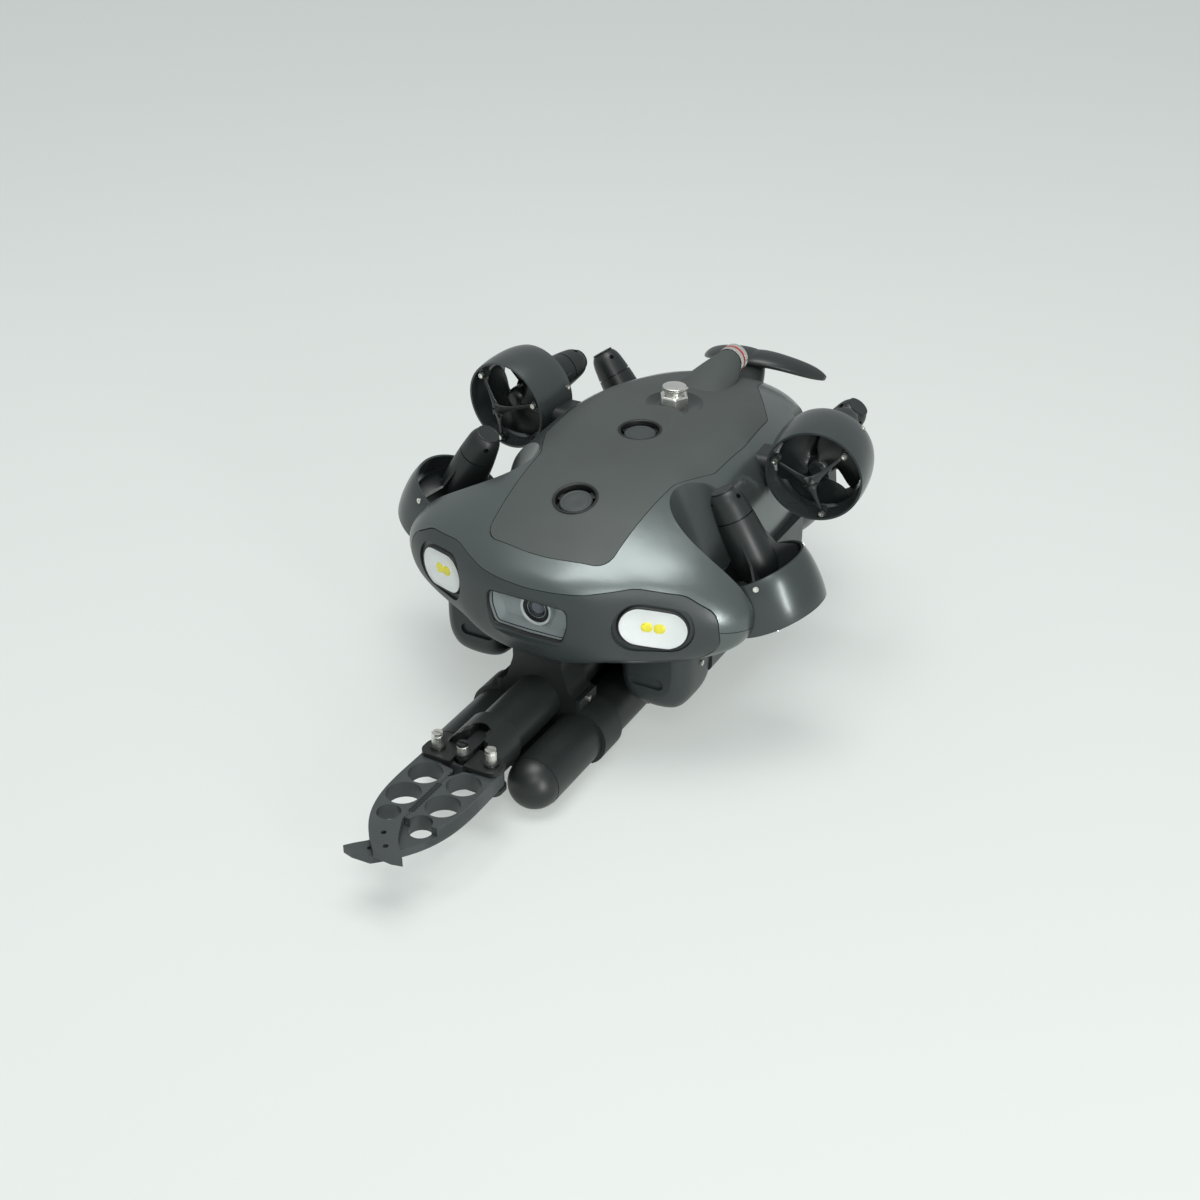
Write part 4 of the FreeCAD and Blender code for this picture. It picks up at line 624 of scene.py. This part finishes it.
def build_pins():
    """Knurled steel sleeves and washers on the three pins that stand over the fork."""
    rod_low, rod_high = (np.array(corner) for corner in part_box("drive_rod"))
    half = 0.5 * (rod_high[0] - rod_low[0])
    spots = [("drive", np.array((0.0, rod_low[1] + half, rod_high[2])), "drive_rod", DRIVE_SLEEVE)]
    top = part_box("pivot_pins")[1][2]
    for side_name in SIDES:
        place = np.array(JOINTS[f"open_jaw_{side_name}"]["pos_m"], float)
        spots.append((f"pivot_{side_name}", np.array((place[0], place[1], top)), "hull", PIVOT_SLEEVE))
    for name, crown, body, foot in spots:
        sleeve = [(PIN - 0.6, foot), (PIN + 0.06, foot), (PIN + 0.22, foot + 0.6), (PIN + 0.22, -2.6),
                  (PIN + 0.05, -1.9), (PIN - 0.6, -1.9)]
        turned(f"pin_sleeve_{name}", sleeve, crown, UP, "steel", body, 0.12, SLEEVE_RIBS,
               SLEEVE_RIB_DEPTH)
        washer = [(PIN + 0.05, foot - 0.1), (PIN + 1.5, foot - 0.1), (PIN + 1.3, foot + 0.7),
                  (PIN + 0.05, foot + 0.7)]
        turned(f"pin_washer_{name}", washer, crown, UP, "rubber", body, 0.2)


TOOTH_PITCH = 2.8       # as the jaws' own teeth
TOOTH_ROOT, TOOTH_HEIGHT = 1.5, 1.1
TEETH_FROM_HEEL, TEETH_FROM_TIP = 38.0, 44.0    # where the dark saw strip of painted shade ends, from a jaw's two ends


def build_tooth_gap_shade():
    """A thin black saw-toothed strip along each jaw's closing line, on its upper face: painted shade for the
    gaps between the teeth.

    Outer edge = root + height * a triangle wave of the teeth's pitch along the closing line.
    """
    for side_name, side in SIDES.items():
        low, high = (np.array(corner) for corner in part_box(f"jaw_{side_name}"))
        y = np.linspace(high[1] - TEETH_FROM_HEEL * MM, low[1] + TEETH_FROM_TIP * MM, 161)
        wave = np.abs(np.mod(y / (TOOTH_PITCH * MM), 1.0) - 0.5) * 2.0
        inner = 0.35 * MM + 0.0 * y
        outer = (TOOTH_ROOT + TOOTH_HEIGHT * wave) * MM
        base, top = high[2] - 0.3 * MM, high[2] + 0.12 * MM
        rows = [(inner, base), (outer, base), (outer, top), (inner, top)]
        grid = np.stack([np.stack([side * reach, y, np.full_like(y, level)], 1)
                         for reach, level in rows], 1)
        # the black strip is painted shade for the gaps between the teeth
        surface(f"tooth_gap_shade_{side_name}", capped(grid), "socket", f"jaw_{side_name}", False, True)


KEEL_HALF = 27.0 * MM
KEEL_GAP, KEEL_SAG, KEEL_THICKNESS, KEEL_SETBACK = 1.0, 5.0, 2.4, 6.0


def build_keel_plate():
    """A dished plate under the arm tube, between the ballast tubes.

    Height = arm tube's underside - gap - sag * (x / half) ** 2.
    """
    low, high = (np.array(corner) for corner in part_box("arm_tube"))
    x = np.linspace(-KEEL_HALF, KEEL_HALF, 25)
    drop = KEEL_GAP * MM + KEEL_SAG * MM * (x / KEEL_HALF) ** 2
    upper = np.stack([x, np.zeros_like(x), low[2] - drop], 1)
    lower = upper[::-1] - np.array((0.0, 0.0, KEEL_THICKNESS * MM))
    section = np.vstack([upper, lower])
    y = np.linspace(low[1] + KEEL_SETBACK * MM, high[1], 12)
    grid = section[None] + np.stack([np.zeros_like(y), y, np.zeros_like(y)], 1)[:, None]
    surface("keel_plate", capped(grid), "tube", "hull", False, True)


SHROUD_ANGLE = 78.0     # half the angle that the shroud covers
SHROUD_WALL, SHROUD_STAND, SHROUD_ARCH, SHROUD_LAP, SHROUD_BACK = 1.1, 0.25, 12.5, 1.5, 0.4
ARCH_STRETCH = 1.15


def build_wrist_shroud():
    """A sleeve over the collar's top whose front edge is an arch round the middle pin.

    Front edge y = collar's front + stretch * root(arch radius squared - x squared) inside the arch.
    """
    low, high = (np.array(corner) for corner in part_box("wrist_collar"))
    radius = 0.5 * (high[0] - low[0])
    middle = low[2] + radius
    angle = np.radians(np.linspace(-SHROUD_ANGLE, SHROUD_ANGLE, 79))
    thick = SHROUD_WALL * MM * np.sqrt(np.clip(1.0 - (angle / angle[-1]) ** 12, 0.0, 1.0))
    outer = radius + SHROUD_STAND * MM
    x = outer * np.sin(angle)
    arch = SHROUD_ARCH * MM
    bow = np.sqrt(np.clip(arch ** 2 - x ** 2, 0.0, None)) * ARCH_STRETCH
    front = low[1] + bow - SHROUD_LAP * MM * (np.abs(x) > arch)
    share = np.r_[0.0, 0.02, np.linspace(0.08, 0.92, 8), 0.98, 1.0]
    y = front[None] + (high[1] + SHROUD_BACK * MM - front)[None] * share[:, None]
    inset = 0.5 * MM * np.r_[1.0, 0.0, np.zeros(8), 0.0, 1.0]
    skin = outer - inset[:, None] + 0.0 * x[None]
    top = np.stack([skin * np.sin(angle), y, middle + skin * np.cos(angle)], -1)
    inner = outer - thick[None] - 0.0 * y
    under = np.stack([inner * np.sin(angle), y, middle + inner * np.cos(angle)], -1)[::-1]
    surface("wrist_shroud", np.vstack([top, under]), "tube", "hull", True, False)


# ---- thrusters --------------------------------------------------------------------------
BLADE_ROOT, BLADE_TIP = 7.0, 30.6
BLADE_MIDDLE = 17.0     # from the duct's mouth to the blades' middle
BLADE_START = math.radians(20.0)
BLADE_WIDTH = math.radians(46.0)        # half the angle that a blade covers at its root
BLADE_SWELL = math.radians(17.0)        # and what it gains outwards
BLADE_SWEEP = 0.30
PROPELLER_HUB = [(0.01, 9.8), (3.2, 10.0), (6.2, 11.0), (8.2, 13.2), (8.9, 16.5), (8.9, 24.3), (3.6, 24.3),
                 (3.6, 22.0), (0.01, 22.0)]


def thrusters():
    """Each thruster's name, side, middle of its mouth and axis towards the motor."""
    for place in THRUSTERS:
        for side_name, side in SIDES.items():
            joint = JOINTS[f"spin_{place}_{side_name}"]
            yield f"{place}_{side_name}", side, np.array(joint["pos_m"]), unit(joint["axis"])


def blade_grid(origin, axis, start, hand):
    """One broad propeller blade as a closed section carried outwards.

    Turn = start + sweep * out + width(out) * cos f,
    height = middle + rise(out) * cos f + thickness(out) * sin f.
    """
    u, v = across(axis)
    out = np.linspace(0.0, 1.0, 16)[:, None]
    f = np.linspace(0.0, TURN, 36, endpoint=False)[None]
    radius = BLADE_ROOT + (BLADE_TIP - BLADE_ROOT) * out
    width = BLADE_WIDTH + BLADE_SWELL * np.sin(out * 2.2)
    rise = 6.6 - 1.4 * out
    thick = (1.5 - 0.9 * out) * np.sqrt(np.clip(1.0 - out ** 10, 0.0, 1.0))
    turn = start + hand * (BLADE_SWEEP * out + width * np.cos(f))
    height = BLADE_MIDDLE + rise * np.cos(f) + thick * np.sin(f)
    spoke = np.cos(turn)[..., None] * u + np.sin(turn)[..., None] * v
    return origin + MM * (radius[..., None] * spoke + height[..., None] * axis)


def build_propellers():
    """Three broad blades and a domed hub for each duct."""
    for name, side, origin, axis in thrusters():
        body = f"propeller_{name}"
        blades = [blade_grid(origin, axis, BLADE_START + THIRD * k, side) for k in range(3)]
        made = surface(f"blades_{name}", blades, "propeller", body, False, True)
        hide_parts(body)
        turned(f"hub_{name}", PROPELLER_HUB, origin, axis, "propeller", body, 0.6)


SCREW_CIRCLE = 29.8
GUARD_REACH = 27.6      # to the edge of a screw's eye
GUARD_FOOT = 1.6        # from the duct's mouth to the eyes' backs
GUARD_RISE = 10.6
SPOKE_NARROW, SPOKE_FLARE, SPOKE_RUN, SPOKE_THICK = 1.25, 5.0, 6.0, 1.15
GUARD_HUB = [(0.01, -11.7), (1.8, -11.2), (4.0, -9.6), (5.0, -8.2), (4.6, -7.0), (0.01, -6.6)]
GUARD_EYE = [(1.0, -0.9), (2.5, -0.9), (2.9, -0.4), (2.9, 1.6), (1.0, 1.6)]


def guard_arm(origin, axis, start):
    """One spoke, an oval section that widens smoothly towards the hub.

    Half width = narrow + flare * exp(-radius / run), height falls back evenly from the hub to the screw.
    """
    u, v = across(axis)
    out = np.linspace(0.0, 1.0, 22)[:, None]
    f = np.linspace(0.0, TURN, 20, endpoint=False)[None]
    radius = GUARD_REACH * out
    end = np.sqrt(np.clip(1.0 - out ** 16, 0.0, 1.0))
    half = (SPOKE_NARROW + SPOKE_FLARE * np.exp(-radius / SPOKE_RUN)) * end
    height = GUARD_FOOT - 1.2 - GUARD_RISE * (1.0 - out) ** 1.15 + SPOKE_THICK * end * np.sin(f)
    spoke = math.cos(start) * u + math.sin(start) * v
    aside = np.cross(axis, spoke)
    flat = radius[..., None] * spoke + (half * np.cos(f))[..., None] * aside
    return origin + MM * (flat + height[..., None] * axis)


def screw_turn(screws, origin, axis):
    """The turn of a duct's first guard screw, from the screws that lie on its circle."""
    u, v = across(axis)
    local = screws - origin
    level = local @ axis
    reach = np.linalg.norm(local - level[:, None] * axis, axis=1)
    near = (np.abs(level) < 4.0 * MM) & (np.abs(reach - SCREW_CIRCLE * MM) < 2.6 * MM)
    turns = np.arctan2(local[near] @ v, local[near] @ u)
    return np.angle(np.exp(3j * turns).mean()) / 3.0


def build_guards():
    """Three flared spokes, a smooth hub and three screw eyes ahead of each propeller."""
    screws = node_points("guard_screws")
    for name, _, origin, axis in thrusters():
        u, v = across(axis)
        start = screw_turn(screws, origin, axis)
        arms = [guard_arm(origin, axis, start + THIRD * k) for k in range(3)]
        made = surface(f"guard_arms_{name}", arms, "nacelle", "hull", False, True)
        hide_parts("duct_guards")
        turned(f"guard_hub_{name}", GUARD_HUB, origin, axis, "nacelle", "hull", 0.5)
        for k in range(3):
            turn = start + THIRD * k
            seat = origin + SCREW_CIRCLE * MM * (math.cos(turn) * u + math.sin(turn) * v)
            turned(f"guard_eye_{name}_{k + 1}", GUARD_EYE, seat, axis, "nacelle", "hull", 0.2)


NACELLE_LIP = [(7.6, -0.9), (8.5, -0.7), (8.55, -0.1), (8.0, 0.12), (7.3, 0.12), (7.0, -0.2),
               (7.0, -0.9)]


def build_nacelle_trim():
    """A shallow ring round each nacelle's tip cap."""
    for name, _, origin, axis in thrusters():
        reach = ((node_points(f"motor_{name}") - origin) @ axis).max()
        turned(f"nacelle_lip_{name}", NACELLE_LIP, origin + axis * reach, axis, "nacelle", "hull", 0.2)


# ---- stage ----------------------------------------------------------------------------
FLOOR_SIZE, FLOOR_MIDDLE, FLOOR_LEVEL = 14.0, 2.0, -0.0005
OWN_TONE = 0.55         # the share of the floor's look that is its own even tone
SKY_STRENGTH = 0.52
AIM = Vector((0.0, -0.02, 0.08))
PANELS = (
    ("panel_above", (0.0, -0.15, 2.0), (1.15, 1.15), 27.0),
    ("panel_nose", (0.70, -1.15, 1.30), (0.7, 0.5), 7.0),
    ("panel_port", (1.55, -0.90, 0.42), (0.20, 0.9), 17.0),
)
CAMERA_PLACE = (0.5391, -0.98367, 0.7361)
CAMERA_PITCH, CAMERA_HEADING, CAMERA_LENS = 30.48, 28.66, 53.25


def floor_finish():
    """Pale board; half of what is seen of it is its own even tone, so shadows stay faint."""
    pale = Finish("floor_pale", (0.70, 0.74, 0.715), 0.70, 0.0, Specular_IOR_Level=0.2).mottle(1.2, 0.012)
    tone = pale.node("ShaderNodeEmission")
    tone.inputs["Color"].default_value = (0.680, 0.722, 0.695, 1.0)
    rays = pale.node("ShaderNodeLightPath").outputs
    seen = pale.node("ShaderNodeMath", operation="ADD")
    pale.link(rays["Is Camera Ray"], seen.inputs[0])
    pale.link(rays["Is Glossy Ray"], seen.inputs[1])
    share = pale.node("ShaderNodeMath", operation="MULTIPLY")
    share.inputs[1].default_value = OWN_TONE
    pale.link(seen.outputs["Value"], share.inputs[0])
    mix = pale.node("ShaderNodeMixShader")
    pale.link(share.outputs["Value"], mix.inputs["Fac"])
    pale.link(pale.shader.outputs["BSDF"], mix.inputs[1])
    pale.link(tone.outputs["Emission"], mix.inputs[2])
    pale.link(mix.outputs["Shader"], pale.tree.nodes["Material Output"].inputs["Surface"])
    return pale.material


def build_stage():
    """A pale floor that runs out of view, lit by soft panels and an even sky."""
    bpy.ops.mesh.primitive_plane_add(size=FLOOR_SIZE, location=(0.0, FLOOR_MIDDLE, FLOOR_LEVEL))
    floor = bpy.context.object
    floor.name = "studio_floor"
    floor.data.materials.append(floor_finish())

    world = bpy.data.worlds.new("studio_sky")
    bpy.context.scene.world = world
    world.use_nodes = True
    sky = world.node_tree.nodes["Background"]
    sky.inputs["Color"].default_value = (0.94, 0.98, 1.0, 1.0)
    sky.inputs["Strength"].default_value = SKY_STRENGTH

    for name, place, size, power in PANELS:
        light = bpy.data.lights.new(name, "AREA")
        light.shape = "RECTANGLE"
        light.size, light.size_y = size
        light.energy = power
        lamp = bpy.data.objects.new(name, light)
        bpy.context.scene.collection.objects.link(lamp)
        lamp.location = place
        lamp.rotation_euler = (AIM - Vector(place)).to_track_quat("-Z", "Y").to_euler()


def build_camera():
    """A normal lens high over the port bow."""
    data = bpy.data.cameras.new("bow_camera")
    data.sensor_width = 36.0
    data.lens = CAMERA_LENS
    camera = bpy.data.objects.new("bow_camera", data)
    bpy.context.scene.collection.objects.link(camera)
    camera.location = CAMERA_PLACE
    camera.rotation_euler = (math.radians(90.0 - CAMERA_PITCH), 0.0,
                             math.radians(CAMERA_HEADING))
    bpy.context.scene.camera = camera


build_camera()
build_stage()
bpy.context.scene.view_settings.view_transform = "Standard"
dress_nodes()
build_camera_trim()
build_lamp_trim()
build_port_trim()
build_valve_trim()
build_coupling_trim()
build_pins()
build_tooth_gap_shade()
build_keel_plate()
build_wrist_shroud()
build_propellers()
build_guards()
build_nacelle_trim()
